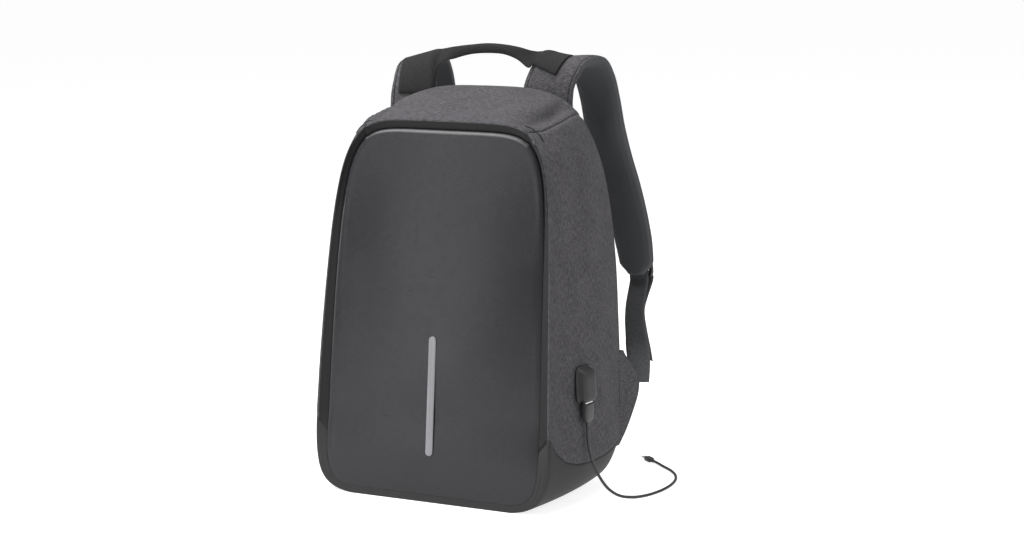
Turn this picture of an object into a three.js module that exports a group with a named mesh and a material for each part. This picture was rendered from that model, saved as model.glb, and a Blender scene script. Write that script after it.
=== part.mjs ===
import * as THREE from "three";

// A soft backpack with a smooth front plate. Millimetres, +Z up, +Y to the back, +X to the right
// of someone who looks at the front. The origin is the middle of the flat base.

// Driving sizes of the body
const depth = 154; // front plane to back plane
const frontWidth = 268; // at the rim round the front panel
const middleWidth = 304; // half way back
const backWidth = 308; // at the back edge
const frontHeight = 389; // top of the rim
const ridgeHeight = 416; // top of the back edge
const waist = 148; // height where the outline is widest
const frontLean = 43.5; // how far the rim's top leans back
const frontTaper = 0.135; // how much narrower the outline is at the top, front and back
const backTaper = 0.129;
const baseLift = 16; // how high the base curves up at the back edge
const liftStart = 0.82; // share of the depth where that curve starts
const soleRound = 1.4; // how far the round bottom is cut flat
const clothWall = 2.2;
const rimWall = 1.5;
const seamGap = 0.33; // between neighbouring pieces

// Front panel and the band round it
const panelWidth = 241;
const panelTop = 379;
const panelBottom = 7.5;
const panelTaper = 0.075;
const panelRecess = 3.4; // panel face behind the rim, in general and at the sole
const soleRecess = 0.5;
const panelCrown = 3;
const panelEdge = 5; // radius of the panel's rounded edge
const gutterTop = 7.5; // depth of the groove round the panel: at its top, lower down and at the sole
const gutterLow = 4.5;
const gutterSole = 1.5;

// Reflective strip
const stripWidth = 8;
const stripLow = 49;
const stripHigh = 171.5;
const stripThickness = 0.8;
const stripGap = 0.55;

// Back
const backRoll = 6; // radius of the rounded back edge
const zipWidth = 10;
const backPadCrown = 6;
const backPadHollow = 3; // how far its inner face follows the swell

// Shoulder straps
const strapWidth = 58;
const padThickness = 10;
const coverThickness = 1.6;
const strapTop = 446;
const strapEnd = 210.5; // height of its lower end
const strapReach = 68; // how far the hanging part stands behind the rising part
const strapRootGap = 3; // strap's front face behind the back plane
const strapRoot = 384; // height of the strap's sewn end

// Web, adjuster and gussets
const webWidth = 25;
const webThickness = 1.8;
const lockWidth = 33;
const lockLength = 30;
const lockThickness = 4;
const lockBar = 4.5;
const wingTop = 147;
const wingBottom = 40;
const wingReach = 26; // how far its tip stands behind the back edge
const wingFlare = 8; // how far its tip stands out sideways
const wingThickness = 4;

// Handle
const gripHeight = 10.5;
const gripDepth = 8;
const gripRise = 13.5; // top of the grip above the straps
const handleWeb = 24;
const handleThickness = 2.2;

// Charging socket, plug and lead
const portWidth = 27;
const portHeight = 38;
const portThickness = 10.5;
const portBottom = 107;
const portDepthShare = 0.35;
const shellWidth = 12;
const shellThickness = 4.5;
const shellLength = 2.8;
const plugWidth = 15;
const plugThickness = 8;
const plugLength = 18;
const leadDiameter = 3;
const connectorLength = 22;
const connectorWidth = 7.6;
const connectorThickness = 5;

const radians = Math.PI / 180;
const mix = (a, b, s) => a + (b - a) * s;
const clamp = (s, low = 0, high = 1) => Math.min(Math.max(s, low), high);
const smooth = (s) => clamp(s) ** 2 * (3 - 2 * clamp(s));
const bump = (s) => Math.exp(-s * s);
const point = (x, y, z) => new THREE.Vector3(x, y, z);

// Straight-line reading of a table of rows, by one of its columns
function read(rows, key, at, want) {
  const last = rows.length - 1;
  let i = 0;
  while (i < last - 1 && rows[i + 1][key] < at) i += 1;
  const share = clamp((at - rows[i][key]) / (rows[i + 1][key] - rows[i][key]));
  return mix(rows[i][want], rows[i + 1][want], share);
}

// A closed solid from its points and triangles, turned so that its faces point out
function solid(points, triangles) {
  let volume = 0;
  for (const [a, b, c] of triangles) {
    volume += points[a].dot(point(0, 0, 0).crossVectors(points[b], points[c]));
  }
  const facing = volume < 0 ? triangles.map(([a, b, c]) => [a, c, b]) : triangles;
  const geometry = new THREE.BufferGeometry();
  const places = points.flatMap((p) => [p.x, p.y, p.z]);
  geometry.setAttribute("position", new THREE.Float32BufferAttribute(places, 3));
  geometry.setIndex(facing.flat());
  geometry.computeVertexNormals();
  return geometry;
}

// A wall: the outer skin, the inner skin behind it, and a band round every free edge. The band's faces
// split the same way on both sides of a seam, so that neighbours stay apart
function wall(outer, inner, triangles) {
  const count = outer.length;
  const faces = [...triangles, ...triangles.map(([a, b, c]) => [c + count, b + count, a + count])];
  const edges = new Map();
  for (const triangle of triangles) {
    triangle.forEach((from, i) => {
      const to = triangle[(i + 1) % 3];
      if (!edges.delete(`${to},${from}`)) edges.set(`${from},${to}`, [from, to]);
    });
  }
  for (const [from, to] of edges.values()) {
    if (from < to) faces.push([to, from, to + count], [from, from + count, to + count]);
    else faces.push([to, from, from + count], [to, from + count, to + count]);
  }
  return solid([...outer, ...inner], faces);
}

// Triangles of a grid of columns and rows
function gridFaces(columns, rows, closed = false) {
  const faces = [];
  const last = closed ? rows : rows - 1;
  for (let i = 0; i < columns - 1; i += 1) {
    for (let j = 0; j < last; j += 1) {
      const next = (j + 1) % rows;
      const [a, b, c, d] = [i * rows + j, (i + 1) * rows + j, (i + 1) * rows + next, i * rows + next];
      faces.push([a, b, c], [a, c, d]);
    }
  }
  return faces;
}

// A solid through closed sections with the same number of points, and a flat cap at each end, which is
// laced across from the first point and the last to the middle ones
function loft(sections) {
  const rows = sections[0].length;
  const faces = gridFaces(sections.length, rows, true);
  for (const [base, turned] of [[0, false], [(sections.length - 1) * rows, true]]) {
    const cap = [];
    for (let j = 0; j < Math.ceil(rows / 2) - 1; j += 1) {
      const [a, b, c, d] = [base + j, base + j + 1, base + rows - 2 - j, base + rows - 1 - j];
      cap.push([a, b, d]);
      if (b !== c) cap.push([b, c, d]);
    }
    faces.push(...cap.map(([a, b, c]) => (turned ? [a, c, b] : [a, b, c])));
  }
  return solid(sections.flat(), faces);
}

// Body outline

// What shapes the outline at a share of the depth: 0 the rim, 1 the back edge
function ringAt(share) {
  const bend = 2 * middleWidth - 0.5 * (frontWidth + backWidth);
  const width = frontWidth * (1 - share) ** 2 + 2 * share * (1 - share) * bend + backWidth * share ** 2;
  return {
    half: width / 2,
    taper: mix(frontTaper, backTaper, share),
    top: mix(frontHeight, ridgeHeight, 1 - (1 - share) ** 1.52),
    floor: baseLift * clamp((share - liftStart) / (1 - liftStart)) ** 2,
    upper: mix(6.1, 3.9, share),
    lower: mix(7, 6.1, share),
  };
}

const panelRing = {
  half: panelWidth / 2,
  taper: panelTaper,
  top: panelTop,
  floor: panelBottom,
  upper: 6.6,
  lower: 9,
};

const shrink = (ring, by) => ({ ...ring, half: ring.half - by, top: ring.top - by, floor: ring.floor + by });

function between(a, b, s) {
  return Object.fromEntries(Object.keys(a).map((key) => [key, mix(a[key], b[key], s)]));
}

// A rounded rectangle by angle, narrower towards the top and cut flat at its floor
function onRing(ring, angle) {
  const across = Math.cos(angle);
  const up = Math.sin(angle);
  const power = up > 0 ? ring.upper : ring.lower;
  const reach = up > 0 ? ring.top - waist : waist - ring.floor + soleRound;
  const radius = (Math.abs(across / ring.half) ** power + Math.abs(up / reach) ** power) ** (-1 / power);
  const z = waist + radius * up;
  const x = radius * across * (1 - ring.taper * clamp(z / frontHeight, 0, 1.2) ** 1.6);
  return { x, z: Math.max(z, ring.floor) };
}

// The right-hand angle at which the outline has a given height
function angleAt(ring, height) {
  let [low, high] = [-Math.PI / 2, Math.PI / 2];
  for (let i = 0; i < 40; i += 1) {
    const middle = (low + high) / 2;
    if (onRing(ring, middle).z < height) low = middle;
    else high = middle;
  }
  return (low + high) / 2;
}

// Angles from one to another, closer together where the outline bends
function spread(ring, from, to, count) {
  const steps = 120;
  const bendWeight = 42; // millimetres of length that one radian of bend counts for
  const places = Array.from({ length: steps + 1 }, (_, i) => onRing(ring, mix(from, to, i / steps)));
  const along = [0];
  let heading = null;
  for (let i = 1; i <= steps; i += 1) {
    const [dx, dz] = [places[i].x - places[i - 1].x, places[i].z - places[i - 1].z];
    const next = Math.atan2(dz, dx);
    const turn = heading === null ? 0 : next - heading;
    const bend = Math.abs(Math.atan2(Math.sin(turn), Math.cos(turn)));
    along.push(along[i - 1] + Math.hypot(dx, dz) + bendWeight * bend);
    heading = next;
  }
  return Array.from({ length: count + 1 }, (_, k) => {
    const want = (along[steps] * k) / count;
    let i = 1;
    while (i < steps && along[i] < want) i += 1;
    return mix(from, to, (i - 1 + clamp((want - along[i - 1]) / (along[i] - along[i - 1]))) / steps);
  });
}

const frontY = (z) => -depth / 2 + frontLean * clamp(z / frontHeight, 0, 1.2) ** 1.56;
const aboveSole = (z) => smooth((z / waist - 0.24) / 0.4); // 0 where the panel runs into the sole
const gutterHigh = (z) => mix(gutterLow, gutterTop, smooth((z / frontHeight - 0.55) / 0.4));
const gutterAt = (z) => mix(gutterSole, gutterHigh(z), aboveSole(z));

// Heights of the seams, as shares of the ridge height, by share of the depth
const seams = [
  { depth: -0.1, tongue: 0.155, shoulder: 0.885 },
  { depth: 0, tongue: 0.192, shoulder: 0.914 },
  { depth: 0.075, tongue: 0.15, shoulder: 0.913 },
  { depth: 0.175, tongue: 0.123, shoulder: 0.913 },
  { depth: 0.31, tongue: 0.107, shoulder: 0.92 },
  { depth: 0.5, tongue: 0.099, shoulder: 0.929 },
  { depth: 0.66, tongue: 0.098, shoulder: 0.935 },
  { depth: 0.85, tongue: 0.103, shoulder: 0.938 },
  { depth: 1, tongue: 0.115, shoulder: 0.93 },
  { depth: 1.1, tongue: 0.135, shoulder: 0.905 },
];

// Columns of the body grid from the front panel's edge to the back panel's edge
function rimColumn(s) {
  const ring = between(panelRing, ringAt(0), s);
  const sunk = (1 - s) ** 1.2;
  return { ring, place: 0.1 * (s - 1), y: (z) => frontY(z) + gutterAt(z) * sunk };
}

function bodyColumn(share) {
  return { ring: ringAt(share), place: share, y: (z) => mix(frontY(z), depth / 2, share) };
}

const bodyEnd = 0.96;

function rollColumn(turn) {
  const from = bodyColumn(bodyEnd);
  const ring = between(from.ring, shrink(ringAt(1), backRoll), 1 - Math.cos(turn));
  return { ring, place: 1, y: (z) => mix(from.y(z), depth / 2, Math.sin(turn)) };
}

function zipColumn(inset) {
  const ring = shrink(ringAt(1), backRoll + inset);
  return { ring, place: 1 + 0.1 * (inset / zipWidth), y: () => depth / 2 };
}

const rimShares = [0, 0.3, 0.6];
const bodyShares = [0, 0.1, 0.2, 0.31, 0.43, 0.55, 0.68, liftStart, 0.89, bodyEnd];
const columns = [
  ...rimShares.map(rimColumn),
  ...bodyShares.map(bodyColumn),
  rollColumn(45 * radians),
  rollColumn(90 * radians),
  zipColumn(zipWidth),
];
const bodyStart = rimShares.length - 1;
const bodyStop = columns.length - 2;

const baseRows = 24;
const sideRows = 9;
const topRows = 16;

// Dent above the shoulder seam: the top cloth sags there and the side's upper edge stands up
const dent = { ridge: 2.8, ridgeBelow: 22, ridgeAbove: 5.5, sag: 8, sagAt: 14.5, sagWide: 9.5 };

function shoulderRelief(share, fromSeam) {
  const strength = Math.sin(Math.PI * clamp((share - 0.04) / 0.9)) ** 0.7 || 0;
  if (fromSeam < 0) return strength * dent.ridge * bump(fromSeam / dent.ridgeBelow);
  const sag = dent.sag * bump((fromSeam - dent.sagAt) / dent.sagWide);
  return strength * (dent.ridge * bump(fromSeam / dent.ridgeAbove) - sag);
}

// Each column's rows: the base from left to right, the right side, the top and the left side
function columnPoints(column) {
  const tongue = angleAt(column.ring, ridgeHeight * read(seams, "depth", column.place, "tongue"));
  const shoulder = angleAt(column.ring, ridgeHeight * read(seams, "depth", column.place, "shoulder"));
  const side = spread(column.ring, tongue, shoulder, sideRows);
  const angles = [
    ...spread(column.ring, -Math.PI - tongue, tongue, baseRows).slice(0, -1),
    ...side.slice(0, -1),
    ...spread(column.ring, shoulder, Math.PI - shoulder, topRows).slice(0, -1),
    ...side.map((angle) => Math.PI - angle).reverse().slice(0, -1),
  ];
  return angles.map((angle) => {
    const { x, z } = onRing(column.ring, angle);
    return point(x, column.y(z), z);
  });
}

const rows = baseRows + topRows + 2 * sideRows;
const smoothSkin = columns.map(columnPoints);

function normalAt(i, j) {
  const here = smoothSkin[i][j];
  const [before, after] = [Math.max(i - 1, 0), Math.min(i + 1, columns.length - 1)];
  const along = here.clone().sub(smoothSkin[before][j]).normalize();
  along.add(smoothSkin[after][j].clone().sub(here).normalize());
  const round = smoothSkin[i][(j + 1) % rows].clone().sub(smoothSkin[i][(j + rows - 1) % rows]);
  return along.cross(round).normalize();
}

const shoulderRight = baseRows + sideRows;
const shoulderLeft = shoulderRight + topRows;

function reliefAt(i, j) {
  const share = columns[i].place;
  if (j < baseRows || share <= 0 || share > 1) return 0;
  const here = smoothSkin[i][j];
  const seam = smoothSkin[i][here.x > 0 ? shoulderRight : shoulderLeft];
  const onTop = j >= shoulderRight && j <= shoulderLeft;
  return shoulderRelief(share, (onTop ? 1 : -1) * here.distanceTo(seam));
}

const normals = smoothSkin.map((column, i) => column.map((_, j) => normalAt(i, j)));
const skin = smoothSkin.map((column, i) =>
  column.map((p, j) => p.clone().addScaledVector(normals[i][j], reliefAt(i, j))));

// How far a point on a piece's edge moves away from the seam: square to the seam, towards the piece's inside
function pull(here, inside, before, after) {
  const seam = after.clone().sub(before).normalize();
  const away = inside.clone().sub(here);
  return away.addScaledVector(seam, -away.dot(seam)).setLength(seamGap / 2);
}

// A cloth piece cut from the body grid, half a seam gap short of its neighbours
function cutCloth(fromColumn, toColumn, fromRow, toRow, thickness) {
  const outer = [];
  const inner = [];
  const at = (i, j) => skin[clamp(i, 0, columns.length - 1)][(j + rows) % rows];
  for (let i = fromColumn; i <= toColumn; i += 1) {
    for (let j = fromRow; j <= toRow; j += 1) {
      const here = at(i, j);
      const placed = here.clone();
      const inColumns = (i === fromColumn) - (i === toColumn);
      const inRows = (j === fromRow) - (j === toRow);
      if (inColumns) placed.add(pull(here, at(i + inColumns, j), at(i, j - 1), at(i, j + 1)));
      if (inRows) placed.add(pull(here, at(i, j + inRows), at(i - 1, j), at(i + 1, j)));
      outer.push(placed);
      inner.push(placed.clone().addScaledVector(normals[i][j % rows], -thickness));
    }
  }
  return wall(outer, inner, gridFaces(toColumn - fromColumn + 1, toRow - fromRow + 1));
}

// Front panel: a plate with a rounded edge, its face a little proud in the middle

const faceY = (x, z) => {
  const across = clamp(1 - (2 * x / panelWidth) ** 2);
  const up = Math.sin(Math.PI * clamp(z / panelTop));
  return frontY(z) + mix(soleRecess, panelRecess, aboveSole(z)) - panelCrown * across * up;
};

// Insets from the panel's outline in edge radii, and how far the plate has risen to its face there
const panelRings = [
  { inset: 0, rise: 0 },
  { inset: 0.05, rise: 0.5 },
  { inset: 0.35, rise: 0.88 },
  { inset: 1, rise: 1 },
  { inset: 6, rise: 1 },
  { inset: 13, rise: 1 },
];

// A plate between a face and a back, both given ring by ring inwards from an outline
function plate(outline, insets, middleFace, middleBack, facePoint, backPoint) {
  const count = outline.length;
  const inwards = (edge, inset) => {
    const towards = point(-edge.x, 0, (waist - edge.z) * 0.65).normalize();
    return edge.clone().addScaledVector(towards, inset);
  };
  const rings = insets.map((inset) => outline.map((edge) => inwards(edge, inset)));
  const outer = rings.flatMap((ring, k) => ring.map((p) => facePoint(p, k)));
  const inner = rings.flatMap((ring, k) => ring.map((p) => backPoint(p, k)));
  outer.push(middleFace);
  inner.push(middleBack);
  const faces = gridFaces(insets.length, count, true);
  const last = (insets.length - 1) * count;
  for (let j = 0; j < count; j += 1) faces.push([last + j, count * insets.length, last + ((j + 1) % count)]);
  return wall(outer, inner, faces);
}

function frontPanel() {
  const back = (p) => point(p.x, frontY(p.z) + gutterAt(p.z) + 1, p.z);
  const face = (p, k) => {
    const low = frontY(p.z) + gutterAt(p.z);
    return point(p.x, mix(low, faceY(p.x, p.z), panelRings[k].rise), p.z);
  };
  const insets = panelRings.map((row) => seamGap / 2 + row.inset * panelEdge);
  const middle = point(0, 0, waist);
  return plate(skin[0], insets, point(0, faceY(0, waist), waist), back(middle), face, back);
}

// Reflective strip: a thin plate with round ends that lies on the front panel
function strip() {
  const half = stripWidth / 2;
  const levels = 14;
  const outer = [];
  const inner = [];
  for (let i = 0; i <= levels; i += 1) {
    const z = mix(stripLow, stripHigh, (1 - Math.cos((Math.PI * i) / levels)) / 2);
    const toEnd = Math.min(z - stripLow, stripHigh - z, half);
    const width = Math.max(Math.sqrt(half ** 2 - (half - toEnd) ** 2), 0.6);
    for (const side of [-1, 0, 1]) {
      const y = faceY(side * width, z) - stripGap;
      outer.push(point(side * width, y - stripThickness, z));
      inner.push(point(side * width, y, z));
    }
  }
  return wall(outer, inner, gridFaces(levels + 1, 3).map(([a, b, c]) => [a, c, b]));
}

// Back panel: a pad that swells from its edge
const backRings = [0.3, 4, 12, 30, 62];

function backPanel() {
  const edge = skin[columns.length - 1];
  const swell = (k) => smooth(backRings[k] / backRings[3]);
  const face = (p, k) => point(p.x, depth / 2 + backPadCrown * swell(k), p.z);
  const back = (p, k) => point(p.x, depth / 2 - clothWall + backPadHollow * swell(k), p.z);
  const middle = point(0, 0, waist);
  const deepest = backRings.length - 1;
  return plate(edge, backRings, face(middle, deepest), back(middle, deepest), face, back);
}

// Sections for swept pieces

// Where a strap runs, for each side: its middle as shares of half the body's width, of the strap's reach
// and of the height between its root (or, after the crest, its end) and its top; the turn of its width
// about the upright and its sideways tilt, in degrees
const crest = 5;
const strapRoute = {
  right: [
    { out: 0.4, back: 0, up: 0, wide: 1.04, turn: 0, tilt: 0 },
    { out: 0.405, back: 0, up: 0.317, wide: 1, turn: 0, tilt: 0 },
    { out: 0.425, back: 0.03, up: 0.604, wide: 0.95, turn: 0, tilt: 0 },
    { out: 0.46, back: 0.1, up: 0.82, wide: 0.93, turn: 0, tilt: 0 },
    { out: 0.5, back: 0.22, up: 0.964, wide: 0.95, turn: 0, tilt: 0 },
    { out: 0.545, back: 0.42, up: 1, wide: 0.93, turn: 0, tilt: 0 },
    { out: 0.585, back: 0.63, up: 0.981, wide: 0.87, turn: -2, tilt: 0 },
    { out: 0.615, back: 0.82, up: 0.915, wide: 0.83, turn: -5, tilt: 0 },
    { out: 0.64, back: 0.94, up: 0.811, wide: 0.83, turn: -9, tilt: 0 },
    { out: 0.67, back: 1, up: 0.678, wide: 0.86, turn: -13, tilt: 0 },
    { out: 0.72, back: 1.03, up: 0.545, wide: 0.88, turn: -16, tilt: 0 },
    { out: 0.785, back: 1.04, up: 0.413, wide: 0.89, turn: -18, tilt: 0 },
    { out: 0.845, back: 1.03, up: 0.28, wide: 0.87, turn: -18, tilt: 0 },
    { out: 0.89, back: 1.02, up: 0.157, wide: 0.84, turn: -18, tilt: 0 },
    { out: 0.915, back: 1.01, up: 0.063, wide: 0.76, turn: -18, tilt: 0 },
    { out: 0.925, back: 1, up: 0, wide: 0.5, turn: -18, tilt: 0 },
  ],
  left: [
    { out: 0.61, back: 0, up: 0, wide: 1, turn: 0, tilt: 0 },
    { out: 0.61, back: 0, up: 0.317, wide: 0.96, turn: 0, tilt: -4 },
    { out: 0.613, back: 0.03, up: 0.568, wide: 0.88, turn: 0, tilt: -9 },
    { out: 0.62, back: 0.1, up: 0.763, wide: 0.85, turn: 0, tilt: -14 },
    { out: 0.628, back: 0.22, up: 0.899, wide: 0.85, turn: 0, tilt: -16 },
    { out: 0.636, back: 0.42, up: 0.942, wide: 0.86, turn: 0, tilt: -14 },
    { out: 0.643, back: 0.63, up: 0.968, wide: 0.88, turn: -2, tilt: -10 },
    { out: 0.65, back: 0.82, up: 0.905, wide: 0.9, turn: -5, tilt: -6 },
    { out: 0.657, back: 0.94, up: 0.811, wide: 0.91, turn: -9, tilt: -2 },
    { out: 0.675, back: 1, up: 0.678, wide: 0.92, turn: -13, tilt: 0 },
    { out: 0.72, back: 1.03, up: 0.545, wide: 0.9, turn: -16, tilt: 0 },
    { out: 0.785, back: 1.04, up: 0.413, wide: 0.89, turn: -18, tilt: 0 },
    { out: 0.845, back: 1.03, up: 0.28, wide: 0.87, turn: -18, tilt: 0 },
    { out: 0.89, back: 1.02, up: 0.157, wide: 0.84, turn: -18, tilt: 0 },
    { out: 0.915, back: 1.01, up: 0.063, wide: 0.76, turn: -18, tilt: 0 },
    { out: 0.925, back: 1, up: 0, wide: 0.5, turn: -18, tilt: 0 },
  ],
};

const hands = { right: 1, left: -1 };
const strapFront = depth / 2 + strapRootGap + coverThickness + seamGap / 2;

// A curve through the strap's middle, and at each share of it the directions of its width and its outer face
function strapCourse(side) {
  const rowsOf = strapRoute[side];
  const hand = hands[side];
  const places = rowsOf.map((row, k) => {
    const z = mix(k > crest ? strapEnd : strapRoot, strapTop, row.up);
    return point(hand * row.out * (backWidth / 2), strapFront + row.back * strapReach, z);
  });
  const curve = new THREE.CatmullRomCurve3(places, false, "centripetal");
  const last = rowsOf.length - 1;
  return (share) => {
    const at = clamp(share) * last;
    const i = Math.min(Math.floor(at), last - 1);
    const value = (key) => mix(rowsOf[i][key], rowsOf[i + 1][key], at - i);
    const middle = curve.getPoint(clamp(share));
    const along = curve.getTangent(clamp(share)).normalize();
    const [turn, tilt] = [value("turn") * radians, value("tilt") * radians];
    const level = Math.cos(tilt);
    const wide = point(hand * Math.cos(turn) * level, Math.sin(turn) * level, Math.sin(tilt));
    wide.addScaledVector(along, -wide.dot(along)).normalize();
    const outer = wide.clone().cross(along).multiplyScalar(hand).normalize();
    return { middle, along, wide, outer, half: (value("wide") * strapWidth) / 2 };
  };
}

const courses = { right: strapCourse("right"), left: strapCourse("left") };
const onStrap = (frame, across, out) =>
  frame.middle.clone().addScaledVector(frame.wide, across).addScaledVector(frame.outer, out);

// Outlines of a strap's sections: across as a share of the half width, out as a share of the thickness
const padOutline = [
  { across: -0.93, out: 0 },
  { across: -1, out: -0.28 },
  { across: -0.95, out: -0.62 },
  { across: -0.7, out: -0.9 },
  { across: 0, out: -1 },
  { across: 0.7, out: -0.9 },
  { across: 0.95, out: -0.62 },
  { across: 1, out: -0.28 },
  { across: 0.93, out: 0 },
];
const coverOutline = [
  { across: -0.93, out: 0 },
  { across: -0.9, out: 0.75 },
  { across: -0.5, out: 1 },
  { across: 0, out: 1 },
  { across: 0.5, out: 1 },
  { across: 0.9, out: 0.75 },
  { across: 0.93, out: 0 },
];

function strapPiece(side, outline, thickness, offset, steps) {
  const sections = Array.from({ length: steps + 1 }, (_, i) => {
    const frame = courses[side](i / steps);
    return outline.map((row) => onStrap(frame, row.across * frame.half, offset + row.out * thickness));
  });
  return loft(sections);
}

const strapSteps = 30;
const strapPad = (side) => strapPiece(side, padOutline, padThickness, -seamGap / 2, strapSteps);
const strapCover = (side) => strapPiece(side, coverOutline, coverThickness, seamGap / 2, strapSteps);

// Handle

// Stations of the handle between its sewn ends: place as shares of the body's half width, of the strap's
// reach and of the grip's top, and how far the flat web has closed up into the round grip
const handleRoute = [
  { across: -0.42, back: 0.13, up: 0.966, round: 0.2 },
  { across: -0.31, back: 0.12, up: 0.977, round: 0.75 },
  { across: -0.19, back: 0.12, up: 0.985, round: 1 },
  { across: -0.06, back: 0.12, up: 0.989, round: 1 },
  { across: 0.07, back: 0.12, up: 0.987, round: 1 },
  { across: 0.17, back: 0.12, up: 0.979, round: 0.75 },
  { across: 0.26, back: 0.13, up: 0.966, round: 0.2 },
];
const handleSides = 8; // points across the web on each of its faces
const sewnFrom = { right: 5, left: 2 }; // the strap's steps where the handle's web starts and ends
const sewnTo = 9;

// A section of the flat web where it is sewn to a strap's cover
function sewnSection(side, across) {
  const lift = seamGap / 2 + coverThickness + 2 * seamGap;
  const faces = [lift, lift + handleThickness].map((out) =>
    Array.from({ length: handleSides }, (_, k) => {
      const frame = courses[side](mix(sewnFrom[side], sewnTo, k / (handleSides - 1)) / strapSteps);
      return onStrap(frame, across * frame.half, out);
    }));
  return [...faces[0], ...faces[1].reverse()];
}

function gripSection(row) {
  const height = row.up * (strapTop + gripRise);
  const middle = point((row.across * backWidth) / 2, strapFront + row.back * strapReach, height);
  const high = mix(handleWeb, gripHeight, row.round) / 2;
  const deep = mix(handleThickness, gripDepth, row.round) / 2;
  const slope = mix(0.7, 0, row.round);
  const section = [];
  for (let k = 0; k < 2 * handleSides; k += 1) {
    const onFront = k >= handleSides;
    const step = (onFront ? 2 * handleSides - 1 - k : k) / (handleSides - 1);
    const up = -Math.cos(Math.PI * step);
    const bulge = mix(1, Math.sqrt(Math.max(1 - (0.93 * up) ** 2, 0)), row.round);
    const y = (onFront ? -1 : 1) * deep * bulge + slope * up * high;
    section.push(middle.clone().add(point(0, y, up * high * mix(0.75, 1, row.round))));
  }
  return section;
}

function handle() {
  const left = [0.6, 0, -0.5, -0.9].map((share) => sewnSection("left", share));
  const right = [-0.9, -0.5, 0, 0.5].map((share) => sewnSection("right", share));
  return loft([...left, ...handleRoute.map(gripSection), ...right]);
}

// Web through the adjuster

const lockShare = 0.965; // where the adjuster's middle lies on the strap
const lockLift = seamGap / 2 + coverThickness + seamGap;
const barMiddle = lockLength / 2 - lockBar / 2;
const hairpin = Math.hypot(lockBar, lockThickness) / 2 + seamGap + webThickness / 2 + 0.2;

// The web's free stretches: its middle in the body's half width, behind the back plane in strap reaches,
// and in the height of the strap's end; the turn of its width about the upright, in degrees
const webFixed = [
  { out: 1.025, back: 0.515, up: 0.48, turn: 50 },
  { out: 1.018, back: 0.56, up: 0.575, turn: 42 },
  { out: 0.976, back: 0.675, up: 0.707, turn: -6 },
  { out: 0.937, back: 0.835, up: 0.833, turn: -18 },
];
const webTail = [
  { out: 0.916, back: 0.973, up: 0.828, turn: -18 },
  { out: 0.958, back: 0.834, up: 0.701, turn: -8 },
  { out: 0.996, back: 0.756, up: 0.596, turn: 14 },
];
const webStraight = 13; // how far it runs straight below the bar
const tailCut = 14; // how much longer the tail is at its outer edge

function webbing(side) {
  const hand = hands[side];
  const lock = courses[side](lockShare);
  const free = (row) => ({
    middle: point(hand * row.out * (backWidth / 2), depth / 2 + row.back * strapReach, row.up * strapEnd),
    wide: point(hand * Math.cos(row.turn * radians), Math.sin(row.turn * radians), 0),
  });
  const atLock = (along, out) => ({
    middle: lock.middle.clone().addScaledVector(lock.along, along).addScaledVector(lock.outer, out),
    wide: lock.wide,
  });
  const turns = [0, 45, 90, 135, 180].map((angle) => {
    const [across, out] = [Math.sin(angle * radians), -Math.cos(angle * radians)];
    return atLock(barMiddle - hairpin * across, lockLift + lockThickness / 2 + hairpin * out);
  });
  const stations = [
    ...webFixed.map(free),
    atLock(barMiddle + webStraight, lockLift + lockThickness / 2 - hairpin),
    ...turns,
    atLock(barMiddle + webStraight, lockLift + lockThickness / 2 + hairpin),
    ...webTail.map(free),
  ];
  const curve = new THREE.CatmullRomCurve3(stations.map((station) => station.middle), false, "centripetal");
  const spans = stations.length - 1;
  const steps = 2 * spans;
  const outer = [];
  const inner = [];
  for (let i = 0; i <= steps; i += 1) {
    const place = (i / steps) * spans;
    const from = Math.min(Math.floor(place), spans - 1);
    const middle = curve.getPoint(i / steps);
    const along = curve.getTangent(i / steps);
    const wide = stations[from].wide.clone().lerp(stations[from + 1].wide, place - from);
    wide.addScaledVector(along, -wide.dot(along)).normalize();
    const out = wide.clone().cross(along);
    for (const across of [-1, 1]) {
      const edge = middle.clone().addScaledVector(wide, (across * webWidth) / 2);
      if (i === steps) edge.addScaledVector(along, (across * tailCut) / 2);
      outer.push(edge.clone().addScaledVector(out, webThickness / 2));
      inner.push(edge.clone().addScaledVector(out, -webThickness / 2));
    }
  }
  return wall(outer, inner, gridFaces(steps + 1, 2));
}

// The adjuster: a flat frame with two slots
function ladderLock(side) {
  const frame = courses[side](lockShare);
  const rectangle = (Type, width, low, high, corner) => {
    const path = new Type();
    path.moveTo(-width / 2 + corner, low);
    path.lineTo(width / 2 - corner, low);
    path.lineTo(width / 2, low + corner);
    path.lineTo(width / 2, high - corner);
    path.lineTo(width / 2 - corner, high);
    path.lineTo(-width / 2 + corner, high);
    path.lineTo(-width / 2, high - corner);
    path.lineTo(-width / 2, low + corner);
    path.closePath();
    return path;
  };
  const shape = rectangle(THREE.Shape, lockWidth, -lockLength / 2, lockLength / 2, 3);
  const slot = (lockLength - 3 * lockBar) / 2;
  shape.holes.push(rectangle(THREE.Path, webWidth + 2.4, lockBar / 2, lockBar / 2 + slot, 0.8));
  shape.holes.push(rectangle(THREE.Path, webWidth + 2.4, -lockBar / 2 - slot, -lockBar / 2, 0.8));
  const geometry = new THREE.ExtrudeGeometry(shape, { depth: lockThickness, bevelEnabled: false });
  const across = frame.along.clone().cross(frame.outer);
  const place = new THREE.Matrix4().makeBasis(across, frame.along, frame.outer);
  place.setPosition(onStrap(frame, 0, lockLift));
  return geometry.applyMatrix4(place);
}

// Gussets at the lower back corners

// Share of the gusset's full reach at shares of its height
const wingShape = [
  { height: 0, reach: 0.06 },
  { height: 0.25, reach: 0.45 },
  { height: 0.53, reach: 0.98 },
  { height: 0.7, reach: 1 },
  { height: 0.85, reach: 0.55 },
  { height: 1, reach: 0.06 },
];

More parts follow.
